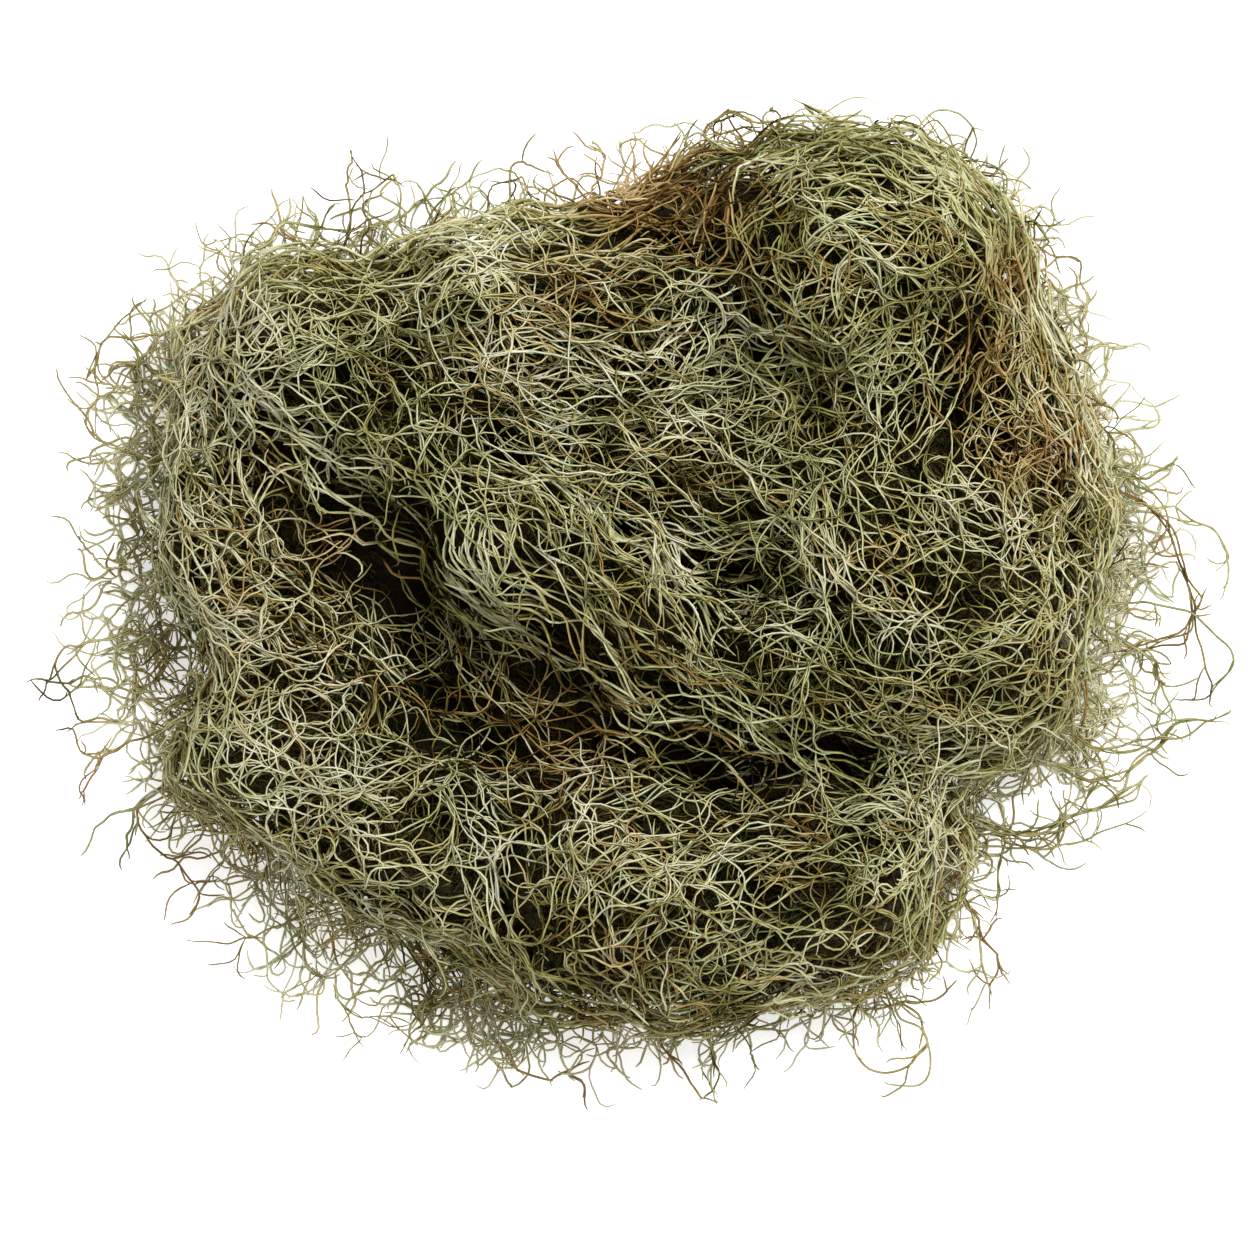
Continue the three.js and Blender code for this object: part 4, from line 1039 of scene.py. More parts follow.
def line_places(points, number):
    """Places spread along a line of the picture, with the direction of the line there."""
    line = from_picture(points)
    stretch = np.linalg.norm(np.diff(line, axis=0), axis=1)
    ends = np.concatenate([[0], np.cumsum(stretch)])
    gone = spread(0, ends[-1], number)
    index = np.clip(np.searchsorted(ends, gone) - 1, 0, len(stretch) - 1)
    share = (gone - ends[index]) / stretch[index]
    place = line[index] + share[:, None] * (line[index + 1] - line[index])
    return place, unit(line[index + 1] - line[index])


ABOVE_ALL = 110.0  # higher than any strand
DROPS = 60  # steps by which a point comes down on the surface
DROP_SHARE = 0.6  # the share of its distance that it comes down in a step
DROP_LIMITS = (-2, 6)


def on_top(place, softness):
    """Points of the bunch's upper surface over places in plan."""
    point = np.column_stack([place, np.full(len(place), ABOVE_ALL)])
    for _ in range(DROPS):
        distance, _ = surface(point, softness)
        point[:, 2] -= np.clip(distance * DROP_SHARE, *DROP_LIMITS)
    point[:, 2] = np.maximum(point[:, 2], FLOOR_GAP)
    return point


def sideways(along):
    """The direction in plan across another one."""
    return np.stack([-along[:, 1], along[:, 0]], axis=1)


HANK = 3  # strands that run side by side
HANK_WIDTH = 1.7  # how far they lie apart across the lay
HANK_LENGTH = 4.0  # and along it
HANK_HEIGHT = 0.6  # and above each other
HANK_FAN = 0.22  # how far a hank's heading strays from the lay, in radians
HANK_HUE = (0.3, 0.25)  # the mean of their hues, and how far those vary
SWATH_SHARE = 0.75  # the share of the strands in LAYS that are made
SWATH_SPREAD = 0.55  # how far hanks lie from the middle of their lay, in its half widths
SWATH_TONE = 0.54  # the tone that swaths have in part, whatever wad they lie on


def grow_swath(points, width, number, paler, brown=0.0):
    """Hanks that lie on top along a lay."""
    hanks = max(2, round(SWATH_SHARE * number / HANK))
    place, along = line_places(points, hanks)
    across = sideways(along)
    place = place + across * rng.normal(0, width * SWATH_SPREAD, hanks)[:, None]
    group = np.repeat(np.arange(hanks), HANK)
    number = len(group)
    along, across = along[group], across[group]
    place = place[group] + across * rng.normal(0, HANK_WIDTH, number)[:, None]
    place = place + along * rng.normal(0, HANK_LENGTH, number)[:, None]
    softness = spread(DIPPING, BRIDGED, hanks)[group]
    root = on_top(place, softness)
    heading = np.column_stack([along, np.zeros(number)]) * either_way(hanks)[group][:, None]
    _, normal = surface(root, softness)
    fan = rng.normal(0, HANK_FAN, hanks)[group] + rng.normal(0, SWATH.fan, number)
    heading = turned(unit(heading), normal, fan)
    count = rng.integers(*SWATH.rings, number)
    level = spread(*SWATH.level, hanks)[group] + rng.normal(0, HANK_HEIGHT, number)
    wave = spread(*SWATH.wave, number)
    course = grow(SWATH, root, heading, level, count, softness, wave, group=group)
    wad = nearest_wad(root)
    return Strands(
        course, count,
        radius=spread(*SWATH.radius, number),
        tone=0.5 * (wad_values(wad, "tone") + SWATH_TONE) + paler + rng.normal(0, SWATH.unevenness, number),
        warmth=brownness(np.full(number, brown), brown=(0.6, 1.0), live=(0, 0.22)),
        hue=np.clip(rng.normal(*HANK_HUE, hanks)[group], 0, 1),
        wad=wad,
        clinging=0.7,
    )


EDGE_LEAN = 1.15  # 1 spreads strands evenly over the width of an edge, and more than that leans inwards


def edge_places(points, inmost, outmost, number):
    """Places along an edge of the bunch, from so far in to so far out, in mm, more of them further in."""
    place, along = line_places(points, number)
    across = sideways(along)
    _, normal = surface(np.column_stack([place, np.full(number, WAIST)]), FLANK_SOFTNESS)
    outward = across * np.sign((across * normal[:, :2]).sum(1))[:, None]
    share = rng.beta(1, EDGE_LEAN, number)
    return place + outward * (inmost + (outmost - inmost) * share)[:, None]


def any_heading(number):
    """Level directions, all round."""
    angle = spread(0, FULL_TURN, number)
    return np.stack([np.cos(angle), np.sin(angle), np.zeros(number)], axis=1)


NET_ROOT = 3.0  # the height from which the net's strands are moved to their levels
NET_HIGH_SHARE = 0.3  # the share of its strands that lie higher
NET_HIGH = 3.5  # and how much higher
NET_BROWN = 0.12  # the share of its strands that are brown


def grow_net(points, inmost, outmost, number, tone):
    """A low net of thin curly strands round the foot of the bunch, which the floor shows through."""
    place = edge_places(points, inmost, outmost, number)
    root = np.column_stack([place, np.full(number, NET_ROOT)])
    heading = any_heading(number)
    count = rng.integers(*NET.rings, number)
    level = spread(*NET.level, number) + NET_HIGH * (rng.random(number) < NET_HIGH_SHARE)
    wave = spread(*NET.wave, number)
    course = grow(NET, root, heading, level, count, FLANK_SOFTNESS, wave, ground=skirt)
    course, kept = within_reach(course)
    wad = nearest_wad(root[kept])
    return dressed(NET, course, count[kept], wad, tone, NET_BROWN, hue=(0.1, 1), clinging=0.9)


HEM_WIDTH = 12.0  # how far inside the net the hem begins
HEM_BROWN = 0.04  # the share of its strands that are brown


def grow_hem(points, inmost, number):
    """Strands that leave the flank of the bunch in all directions and reach out over the net."""
    place = edge_places(points, inmost - HEM_WIDTH, inmost, number)
    root = on_top(place, FLANK_SOFTNESS)
    count = rng.integers(*HEM.rings, number)
    level = spread(*HEM.level, number)
    rise = spread(*HEM.rise, number)
    heading = any_heading(number)
    wave = spread(*HEM.wave, number)
    course = grow(HEM, root, heading, level, count, FLANK_SOFTNESS, wave, rise=rise)
    wad = nearest_wad(root)
    return dressed(HEM, course, count, wad, wad_values(wad, "tone"), HEM_BROWN)


def within_reach(course):
    """The strands that stay within the size of the bunch, as lying on its surface, and which they are."""
    paths, depths, ups = course
    kept = (np.abs(paths[..., 0]).max(1) < REACH_X) & (np.abs(paths[..., 1]).max(1) < REACH_Y)
    return (paths[kept], np.zeros_like(depths[kept]), ups[kept]), kept


STRAY_TONE = 0.46
STRAY_BROWN = 0.3  # the share of the strays and flyaways that are brown
STRAY_HUES = (0.3, 1)
FLYAWAY_SOFTNESS = 5.0
FLYAWAY_HEIGHT = (2, 26)  # of their roots


def grow_flyaways(number):
    """Thin strands that leave the edge and end in the air or on the floor."""
    places = [line_places(net[0], number // len(NETS))[0] for net in NETS.values()]
    place = np.concatenate(places)
    number = len(place)
    root = np.column_stack([place, spread(*FLYAWAY_HEIGHT, number)])
    _, normal = surface(root, FLYAWAY_SOFTNESS)
    round_the_foot = unit(np.cross(normal, upward(number)))
    heading = turned(round_the_foot, normal, rng.normal(0, FLYAWAY.fan, number))
    count = rng.integers(*FLYAWAY.rings, number)
    wave = spread(*FLYAWAY.wave, number)
    rise = spread(*FLYAWAY.rise, number)
    course = grow(FLYAWAY, root, heading, FLYAWAY.level, count, FLYAWAY_SOFTNESS, wave, rise=rise)
    course, kept = within_reach(course)
    wad = nearest_wad(root[kept])
    return dressed(FLYAWAY, course, count[kept], wad, STRAY_TONE, STRAY_BROWN, hue=STRAY_HUES)


def curve_through(points, rings):
    """A smooth path through a few points."""
    points = np.asarray(points, float)
    ends = np.concatenate([[0], np.cumsum(np.linalg.norm(np.diff(points, axis=0), axis=1))])
    slope = np.gradient(points, ends, axis=0)
    gone = np.linspace(0, ends[-1], rings)
    index = np.clip(np.searchsorted(ends, gone) - 1, 0, len(ends) - 2)
    span = (ends[index + 1] - ends[index])[:, None]
    t = (gone - ends[index])[:, None] / span
    return (
        (2 * t**3 - 3 * t**2 + 1) * points[index]
        + (t**3 - 2 * t**2 + t) * span * slope[index]
        + (3 * t**2 - 2 * t**3) * points[index + 1]
        + (t**3 - t**2) * span * slope[index + 1]
    )


STRAY_RINGS = 40
STRAY_WOBBLE = 0.45  # how far strays run off their smooth curve, in mm
# The slow and the quick wave of that: height, and how fast it runs, in radians for each ring.
SLOW_WAVE = (1.4, 0.2, 0.5)
QUICK_WAVE = (0.6, 0.6, 1.1)
LAST_START = 6.3  # of a wave, in radians
NEIGHBOUR_SHIFT = 1.6  # how far strays that run side by side lie apart
NEIGHBOUR_LIFT = 1.5  # and above each other


def stray_wave(height, slowest, fastest):
    """A wave along each axis."""
    gone = np.arange(STRAY_RINGS)
    waves = [np.sin(gone * rng.uniform(slowest, fastest) + rng.uniform(0, LAST_START)) for _ in range(3)]
    return height * np.stack(waves, axis=1)


def wobble():
    """The unevenness along a stray."""
    return STRAY_WOBBLE * (stray_wave(*SLOW_WAVE) + stray_wave(*QUICK_WAVE))


def grow_strays():
    """The long strays, each along its own points."""
    paths = [curve_through(points, STRAY_RINGS) + wobble() for points in STRAYS]
    for pixels, first, last, side_by_side in FINE_STRAYS:
        plan = from_picture(pixels)
        height = np.linspace(first, last, len(plan))
        for copy in range(side_by_side):
            shift = rng.normal(0, NEIGHBOUR_SHIFT if copy else 0, (len(plan), 2))
            lift = rng.normal(0, NEIGHBOUR_LIFT) if copy else 0
            path = curve_through(np.column_stack([plan + shift, height + lift]), STRAY_RINGS) + wobble()
            path[:, 2] = np.maximum(path[:, 2], FLOOR_GAP)
            paths.append(path)
    paths = np.stack(paths)
    course = (paths, np.zeros(paths.shape[:2]), np.broadcast_to((0.0, 0.0, 1.0), paths.shape))
    count = np.full(len(paths), STRAY_RINGS)
    wad = nearest_wad(paths[:, 0])
    return dressed(STRAY, course, count, wad, STRAY_TONE, STRAY_BROWN, hue=STRAY_HUES)


def air(points, softness):
    """Stands in for the ground where strands hang free."""
    return np.zeros(len(points)), upward(len(points))


WHISKER_PLACES = (0.3, 0.97)  # where along a strand whiskers start


def grow_whiskers(carriers, number):
    """Short curls that branch off loose strands."""
    strand = rng.integers(0, len(carriers.count), number)
    place = (spread(*WHISKER_PLACES, number) * (carriers.count[strand] - 2)).astype(int)
    root = carriers.paths[strand, place]
    along = unit(carriers.paths[strand, place + 1] - root)
    heading = turned(along, upward(number), either_way(number) * spread(*WHISKER.fan, number))
    count = rng.integers(*WHISKER.rings, number)
    wave = spread(*WHISKER.wave, number)
    course = grow(WHISKER, root, heading, WHISKER.level, count, 0.0, wave, ground=air)
    course[0][:, 0] = root
    course, kept = within_reach(course)
    strand = strand[kept]
    return Strands(
        course, count[kept],
        radius=WHISKER.radius * carriers.radius[strand],
        tone=carriers.tone[strand],
        warmth=carriers.warmth[strand],
        hue=carriers.hue[strand],
        wad=carriers.wad[strand],
    )


# ---- strands cling to each other -------------------------------------------------------------------
VOXEL = 0.9  # the width of one cell of the space
GRID_LOW = np.array([-162.0, -136.0, -4.0])
GRID_CELLS = (360, 303, 120)
CLING_ROUNDS = 4
CLING_STEP = 0.40  # how far strands are drawn together in a round, in mm
FAINT_SLOPE = 0.05  # where the density changes by less than this, they are hardly moved
DEPTH_TAKEN = 9.0  # strands are moved less the deeper they lie, and least from this depth on
LEAST_FREE = 0.25


def softened(grid):
    """A grid blurred a little along each axis."""
    for axis in range(3):
        for _ in range(2):
            before, after = np.roll(grid, 1, axis), np.roll(grid, -1, axis)
            grid = np.float32(0.5) * grid + np.float32(0.25) * (before + after)
    return grid


def strand_density(batches):
    """How much strand there is in each cell of the space round the bunch."""
    cells = []
    for batch in batches:
        real = np.arange(batch.paths.shape[1])[None] < batch.count[:, None]
        halfway = (batch.paths[:, 1:] + batch.paths[:, :-1]) / 2
        cells += [voxel_of(batch.paths[real]), voxel_of(halfway[real[:, 1:]])]
    total = np.bincount(np.concatenate(cells), minlength=math.prod(GRID_CELLS))
    return softened(total.reshape(GRID_CELLS).astype(np.float32))


def voxel_of(points):
    """The number of the cell of the space that each point lies in."""
    cell = ((points - GRID_LOW) / VOXEL).astype(int)
    cell = np.clip(cell, 1, np.array(GRID_CELLS) - 2)
    return (cell[..., 0] * GRID_CELLS[1] + cell[..., 1]) * GRID_CELLS[2] + cell[..., 2]


def cling(batches):
    """Draws neighbouring strands together, so that they meet in forks and leave dark gaps between."""
    strides = (GRID_CELLS[1] * GRID_CELLS[2], GRID_CELLS[2], 1)
    for _ in range(CLING_ROUNDS):
        density = strand_density(batches).ravel()
        for batch in batches:
            cell = voxel_of(batch.paths)
            slope = np.stack([density[cell + step] - density[cell - step] for step in strides], axis=-1)
            steep = np.linalg.norm(slope, axis=-1, keepdims=True)
            free = batch.clinging * np.clip(1 + batch.depths / DEPTH_TAKEN, LEAST_FREE, 1)[..., None]
            move = CLING_STEP * free * slope / (steep + FAINT_SLOPE)
            for _ in range(2):
                move[:, 1:-1] = (move[:, :-2] + 2 * move[:, 1:-1] + move[:, 2:]) / 4
            batch.paths = batch.paths + move
            batch.paths[..., 2] = np.maximum(batch.paths[..., 2], FLOOR_GAP)


# ---- meshes ----------------------------------------------------------------------------------------
PAINTED_OUTER_LIGHT = 0.25  # painted light: how much paler a strand is on its outer side than its own tone
UNDER_SHADE = 0.30  # painted shade: how much darker its underside is than that
DARKEST = 0.02  # the least tone
SKIN = 0.8  # strands that lie no deeper than this are not shaded
MOST_DEPTH = 9.0  # strands that lie deeper than this get no darker
SIDE_LIGHT = 0.8  # how much of the depth's effect the light from the side undoes at the edge
DEEP_SHADE = 0.135  # painted shade: how much darker a strand is for each mm of depth
DEEP_BROWN = 0.020  # how much browner
PALE_TONE_AND_LIGHT = 0.22  # how much paler a strand is in a pale spot of strength 1, or darker in a dull one: partly its own tone, partly painted light and painted shade
SPOT_SHADE = 0.46  # painted shade: how much darker a deep strand is in a dark spot of strength 1
TOP_SHARE = 0.05  # the share of that shade which reaches the strands on top
SPOT_DEPTH = 4.0  # the depth at which strands get nearly all of it
BROWN_GAIN = 1.2  # how much browner a strand is in a brown spot of strength 1
BROWN_LEAN = 0.6  # how strong a brown spot must be to turn the strands that resist it most
BROWN_SHADE = 0.16  # how much darker brown strands are than live ones
CORE_STRIP = 0.12  # the share of the bake sheet that the dark insides take
CORE_FILL = 0.95  # and how much of that they fill
SHEET_COLUMNS = 4  # in which the strands' strips lie, one above the other
STRIP_START = 0.02  # the margin at a strip's ends, against its length
STRIP_EDGE = 0.1  # and at its sides, against its width
TIP_PLACE = 0.02  # how far along its strip the middle of a strand's end lies
TIP_WIDTH = 0.5  # how thick a strand is at its ends, against its middle
TAPER = 3.0  # how fast it gets thicker from there, for its whole length


def tubes(paths, ups, radius):
    """Rings of vertices round each path, the first on the outer side, for strands with as many rings."""
    rings = paths.shape[1]
    tangent = np.empty_like(paths)
    tangent[:, 1:-1] = paths[:, 2:] - paths[:, :-2]
    tangent[:, 0] = paths[:, 1] - paths[:, 0]
    tangent[:, -1] = paths[:, -1] - paths[:, -2]
    tangent = unit(tangent)
    out = along_surface(ups, tangent)
    other = np.cross(tangent, out)
    share = np.linspace(0, 1, rings)
    taper = np.minimum(1, TIP_WIDTH + TAPER * np.minimum(share, 1 - share))
    thick = radius[:, None] * taper[None, :]
    angle = FULL_TURN * np.arange(SIDES) / SIDES
    ring_shape = out[:, :, None] * np.cos(angle)[:, None] + other[:, :, None] * np.sin(angle)[:, None]
    return paths[:, :, None] + thick[:, :, None, None] * ring_shape


def tube_faces(number, rings):
    """Faces of the sides, with the place of each corner on the bake sheet, and of the two ends, with theirs.

    A place is the strand's number, how far along the strand it is and how far round.
    """
    first = np.arange(number)[:, None, None] * rings * SIDES
    ring = np.arange(rings - 1)[None, :, None] * SIDES
    corner = np.arange(SIDES)[None, None, :]
    after = (corner + 1) % SIDES
    low, high = first + ring, first + ring + SIDES
    quads = np.stack([low + corner, low + after, high + after, high + corner], axis=-1)
    along = np.arange(rings - 1)[None, :, None, None] + np.array([0, 0, 1, 1])
    over = corner[..., None] + np.array([0, 1, 1, 0])
    quad_sheet = np.empty((*quads.shape, 3))
    quad_sheet[..., 0] = np.arange(number)[:, None, None, None]
    quad_sheet[..., 1] = along / (rings - 1)
    quad_sheet[..., 2] = over / SIDES
    start = first[:, 0] + np.arange(SIDES)[::-1][None]
    end = first[:, 0] + (rings - 1) * SIDES + np.arange(SIDES)[None]
    ends_sheet = np.empty((2, number, SIDES, 3))
    ends_sheet[..., 0] = np.arange(number)[:, None]
    ends_sheet[0, ..., 1] = np.array([0, 0, TIP_PLACE])
    ends_sheet[1, ..., 1] = np.array([1, 1, 1 - TIP_PLACE])
    ends_sheet[..., 2] = np.array([0, 1, 0.5])
    ends = np.concatenate([start, end])
    return quads.reshape(-1, 4), quad_sheet.reshape(-1, 3), ends, ends_sheet.reshape(-1, 3)


class Builder:
    """Collects one wad's vertices, with their looks, and its faces, with their places on its bake sheet."""

    def __init__(self):
        self.vertices, self.looks, self.inside = [], [], []
        self.quads, self.triangles = [], []
        self.quad_sheet, self.triangle_sheet = [], []
        self.total = 0
        self.strips = 0

    def add(self, vertices, looks, inside):
        """Adds vertices, which belong to the dark inside or don't."""
        self.vertices.append(vertices)
        self.looks.append(looks)
        self.inside.append(np.full(len(vertices), float(inside)))
        self.total += len(vertices)


def strand_looks(strands, chosen, rings):
    """Tone, warmth and hue of each ring: deep strands and those in a dark spot are darker, as painted shade,
    and browner.
    """
    paths = strands.paths[chosen, :rings]
    # Painted shade of the tangle: the deeper a strand lies, the darker it is, less so near the edge, where
    # light comes in from the side.
    depth = np.clip(-strands.depths[chosen, :rings] - SKIN, 0, MOST_DEPTH)
    cell = cell_of(paths)
    depth *= 1 - SIDE_LIGHT * EDGE_FIELD[cell]
    # Painted shade in the hollows of the dark spots, mostly on deep strands.
    dark = DARK_FIELD[cell] * np.clip(TOP_SHARE + depth / SPOT_DEPTH, 0, 1)
    lean = BROWN_LEAN * rng.random(len(chosen))[:, None]
    stain = BROWN_GAIN * np.clip(BROWN_FIELD[cell] - lean, 0, 1)
    warmth = np.clip(strands.warmth[chosen, None] + DEEP_BROWN * depth + stain, 0, 1)
    # Pale and dull spots: partly the strands' own tone, partly painted light and painted shade.
    pale = PALE_TONE_AND_LIGHT * PALE_FIELD[cell]
    # Painted light: each strand is paler than its own tone on its outer side.
    tone = strands.tone[chosen, None] + PAINTED_OUTER_LIGHT + pale - DEEP_SHADE * depth - SPOT_SHADE * dark
    looks = np.ones((len(chosen), rings, 4))
    looks[..., 0] = np.clip(tone - BROWN_SHADE * warmth, DARKEST, 1)
    looks[..., 1] = warmth
    looks[..., 2] = strands.hue[chosen, None]
    return looks


def add_strands(builder, strands, wad):
    """Adds the strands of one batch that belong to a wad."""
    for rings in np.unique(strands.count):
        chosen = np.flatnonzero((strands.wad == wad) & (strands.count == rings))
        if not len(chosen):
            continue
        vertices = tubes(strands.paths[chosen, :rings], strands.ups[chosen, :rings], strands.radius[chosen])
        looks = np.repeat(strand_looks(strands, chosen, rings)[:, :, None], SIDES, axis=2)
        # Painted shade: the two lower corners of each ring, the strand's underside, are darker.
        looks[:, :, 1:, 0] = np.maximum(looks[:, :, 1:, 0] - UNDER_SHADE, DARKEST)
        quads, quad_sheet, triangles, triangle_sheet = tube_faces(len(chosen), rings)
        quad_sheet[:, 0] += builder.strips
        triangle_sheet[:, 0] += builder.strips
        builder.quads.append(quads + builder.total)
        builder.triangles.append(triangles + builder.total)
        builder.quad_sheet.append(quad_sheet)
        builder.triangle_sheet.append(triangle_sheet)
        builder.strips += len(chosen)
        builder.add(vertices.reshape(-1, 3), looks.reshape(-1, 4), inside=False)


BALL_MARGIN = 0.02  # round each ball's square on the bake sheet
LEAST_CORE = 3.0  # puffs whose dark inside would be thinner than this have none
CORE_EDGE = 0.4  # how far out the edge of the bunch is looked for, in CORE_DEPTH
CORE_INSET = 0.8  # the share of a thin edge's inset that the dark inside follows
CORE_THICKNESS = 2.0  # the dark inside's least half width
# Waves on the dark inside: height, how they run along x, y and z in radians per mm, and their start.
CORE_WAVES = [
    (0.7, (0.23, 0.11, 0), 0),
    (0.7, (0, 0.21, -0.15), 1.3),
    (0.7, (0.17, 0, 0.19), 2.1),
    (0.35, (0.9, -0.6, 0), 0),
    (0.35, (0, 0.8, 0.7), 0.4),
    (0.35, (-0.5, 0, 1.1), 1.7),
]


def ball_shape():
    """Directions of an icosphere's vertices, and its triangles."""
    shape = bmesh.new()
    bmesh.ops.create_icosphere(shape, subdivisions=3, radius=1)
    direction = np.array([vertex.co for vertex in shape.verts])
    corners = np.array([[vertex.index for vertex in face.verts] for face in shape.faces])
    shape.free()
    return unit(direction), corners


def add_core(builder, name, direction, corners):
    """Adds a wad's dark inside, near black as painted shade of the deep tangle: lumpy balls and pads with
    their undersides pressed flat on the floor.
    """
    puffs = WADS[name]["puffs"]
    thick = [puff for puff in puffs if min(puff[3:6]) > CORE_DEPTH + LEAST_CORE]
    shrunk = [(*puff[:3], *(half - CORE_DEPTH for half in puff[3:6]), puff[6]) for puff in thick]
    balls = np.array(shrunk + BEDS.get(name, []), float)
    on_sheet = 0.5 + (0.5 - BALL_MARGIN) * direction[corners]
    for number, ball in enumerate(balls):
        centre, half, turn = ball[:3], ball[3:6], math.radians(ball[6])
        if number < len(thick):
            outside = centre + about_z(direction * (half + CORE_EDGE * CORE_DEPTH), turn)
            half = half - CORE_INSET * INSET_FIELD[cell_of(outside)][:, None]
        point = centre + about_z(direction * np.maximum(half, CORE_THICKNESS), turn)
        point += direction * lumps(point)[:, None]
        point[:, 2] = np.maximum(point[:, 2], FLOOR_GAP)
        sheet = np.empty((len(corners), 3, 3))
        sheet[..., 0] = -1
        sheet[..., 1] = (number + on_sheet[..., 0]) / len(balls)
        sheet[..., 2] = on_sheet[..., 1]
        builder.triangles.append(corners + builder.total)
        builder.triangle_sheet.append(sheet.reshape(-1, 3))
        looks = np.ones((len(point), 4))
        # Painted shade: the dark inside carries the strength of the dark spots in its warmth channel, so
        # fewer of its fibres show there.
        looks[:, 1] = DARK_FIELD[cell_of(point)]
        builder.add(point, looks, inside=True)


def lumps(point):
    """Swells and dips of the dark inside, from waves that run in several directions."""
    return sum(height * np.sin(point @ np.array(run) + start) for height, run, start in CORE_WAVES)


def sheet_places(corners, strips):
    """Places on the bake sheet: a strip for each strand above the insides' own band."""
    rows = math.ceil(strips / SHEET_COLUMNS)
    strip, along, over = corners.T
    column, row = np.divmod(strip, rows)
    inside = strip < 0
    right = (column + STRIP_START + (1 - 2 * STRIP_START) * along) / SHEET_COLUMNS
    up = CORE_STRIP + (1 - CORE_STRIP) * (row + STRIP_EDGE + (1 - 2 * STRIP_EDGE) * over) / rows
    right[inside] = along[inside]
    up[inside] = CORE_FILL * CORE_STRIP * over[inside]
    return np.stack([right, up], axis=1)


def make_mesh(name, builder):
    """The mesh of what a builder holds, in metres."""
    vertices = np.concatenate(builder.vertices) * MM
    quads = np.concatenate(builder.quads)
    triangles = np.concatenate(builder.triangles)
    mesh = bpy.data.meshes.new(name)
    mesh.vertices.add(len(vertices))
    mesh.vertices.foreach_set("co", vertices.ravel())
    mesh.loops.add(quads.size + triangles.size)
    mesh.loops.foreach_set("vertex_index", np.concatenate([quads.ravel(), triangles.ravel()]))
    starts = np.concatenate([np.arange(len(quads)) * 4, quads.size + np.arange(len(triangles)) * 3])
    mesh.polygons.add(len(starts))
    mesh.polygons.foreach_set("loop_start", starts)
    mesh.polygons.foreach_set("use_smooth", np.ones(len(starts), bool))
    mesh.update(calc_edges=True)
    look = mesh.attributes.new("look", "FLOAT_COLOR", "POINT")
    look.data.foreach_set("color", np.concatenate(builder.looks).ravel())
    inside = mesh.attributes.new("inside", "FLOAT", "POINT")
    inside.data.foreach_set("value", np.concatenate(builder.inside))
    corners = np.concatenate(builder.quad_sheet + builder.triangle_sheet)
    sheet = mesh.uv_layers.new(name="OFBake")
    sheet.uv.foreach_set("vector", sheet_places(corners, builder.strips).ravel())
    return mesh


# ---- materials -------------------------------------------------------------------------------------
FRESH = [  # fresh grey-green strands from dark to pale, linear light
    (0.0, (0.006, 0.006, 0.001)),
    (0.25, (0.043, 0.050, 0.011)),
    (0.5, (0.164, 0.184, 0.061)),
    (0.72, (0.365, 0.396, 0.208)),
    (1.0, (0.610, 0.632, 0.480)),
]
OLIVE = [  # older, yellower ones
    (0.0, (0.008, 0.006, 0.001)),
    (0.25, (0.064, 0.052, 0.010)),
    (0.5, (0.220, 0.195, 0.053)),
    (0.72, (0.422, 0.395, 0.166)),
    (1.0, (0.640, 0.605, 0.400)),
]
DEAD = [  # dead brown ones
    (0.0, (0.006, 0.004, 0.001)),
    (0.25, (0.062, 0.031, 0.006)),
    (0.5, (0.220, 0.125, 0.030)),
    (0.72, (0.380, 0.250, 0.095)),
    (1.0, (0.540, 0.410, 0.230)),
]
INSIDE_FIBRES_AND_SHADE = [  # the dark inside: its fibres, which stand for deeper strands, and what lies between them, near black as painted shade
    (0.0, (0.110, 0.094, 0.032)),
    (0.010, (0.050, 0.042, 0.012)),
    (0.020, (0.007, 0.0055, 0.0015)),
]
MOTTLE_SCALE, MOTTLE_SHARE = 480, 0.28  # the fine scales on the strands
PATCH_SCALE, PATCH_SHARE = 75, 0.36  # paler and darker stretches
FIBRE_SCALE = 330  # of the tangle of fibres on the dark inside
FIBRE_LEVELS = (0.46, 0.56)  # the noise's levels along which fibres run
HOLE_SHADE = 0.025  # painted shade: how much less of the inside's fibres is seen in a dark spot of strength 1


def ramp(tree, factor, stops):
    """A colour ramp with stops (place, colour)."""
    node = tree.nodes.new("ShaderNodeValToRGB")
    elements = node.color_ramp.elements
    while len(elements) < len(stops):
        elements.new(0.5)
    for element, (place, colour) in zip(elements, stops):
        element.position = place
        element.color = (*colour, 1)
    tree.links.new(factor, node.inputs[0])
    return node.outputs[0]


def mix(tree, factor, first, second):
    """The first colour where the factor is 0, the second where it is 1."""
    node = tree.nodes.new("ShaderNodeMix")
    node.data_type = "RGBA"
    for socket, value in ((0, factor), (6, first), (7, second)):
        tree.links.new(value, node.inputs[socket])
    return node.outputs[2]


def noise(tree, place, scale):
    """The outputs of a smooth noise."""
    node = tree.nodes.new("ShaderNodeTexNoise")
    node.inputs["Scale"].default_value = scale
    node.inputs["Detail"].default_value = 0
    tree.links.new(place, node.inputs["Vector"])
    return node.outputs


def reckon(tree, operation, *values):
    """A Math node on numbers and other nodes' outputs."""
    node = tree.nodes.new("ShaderNodeMath")
    node.operation = operation
    for socket, value in zip(node.inputs, values):
        if isinstance(value, (int, float)):
            socket.default_value = value
        else:
            tree.links.new(value, socket)
    return node.outputs[0]


def add_share(tree, value, share, base):
    """base plus a share of value, which swings round 0.5."""
    return reckon(tree, "SUBTRACT", reckon(tree, "MULTIPLY_ADD", value, share, base), share / 2)


def parts_of(tree, colour):
    """The three channels of a colour."""
    node = tree.nodes.new("ShaderNodeSeparateColor")
    tree.links.new(colour, node.inputs[0])
    return node.outputs


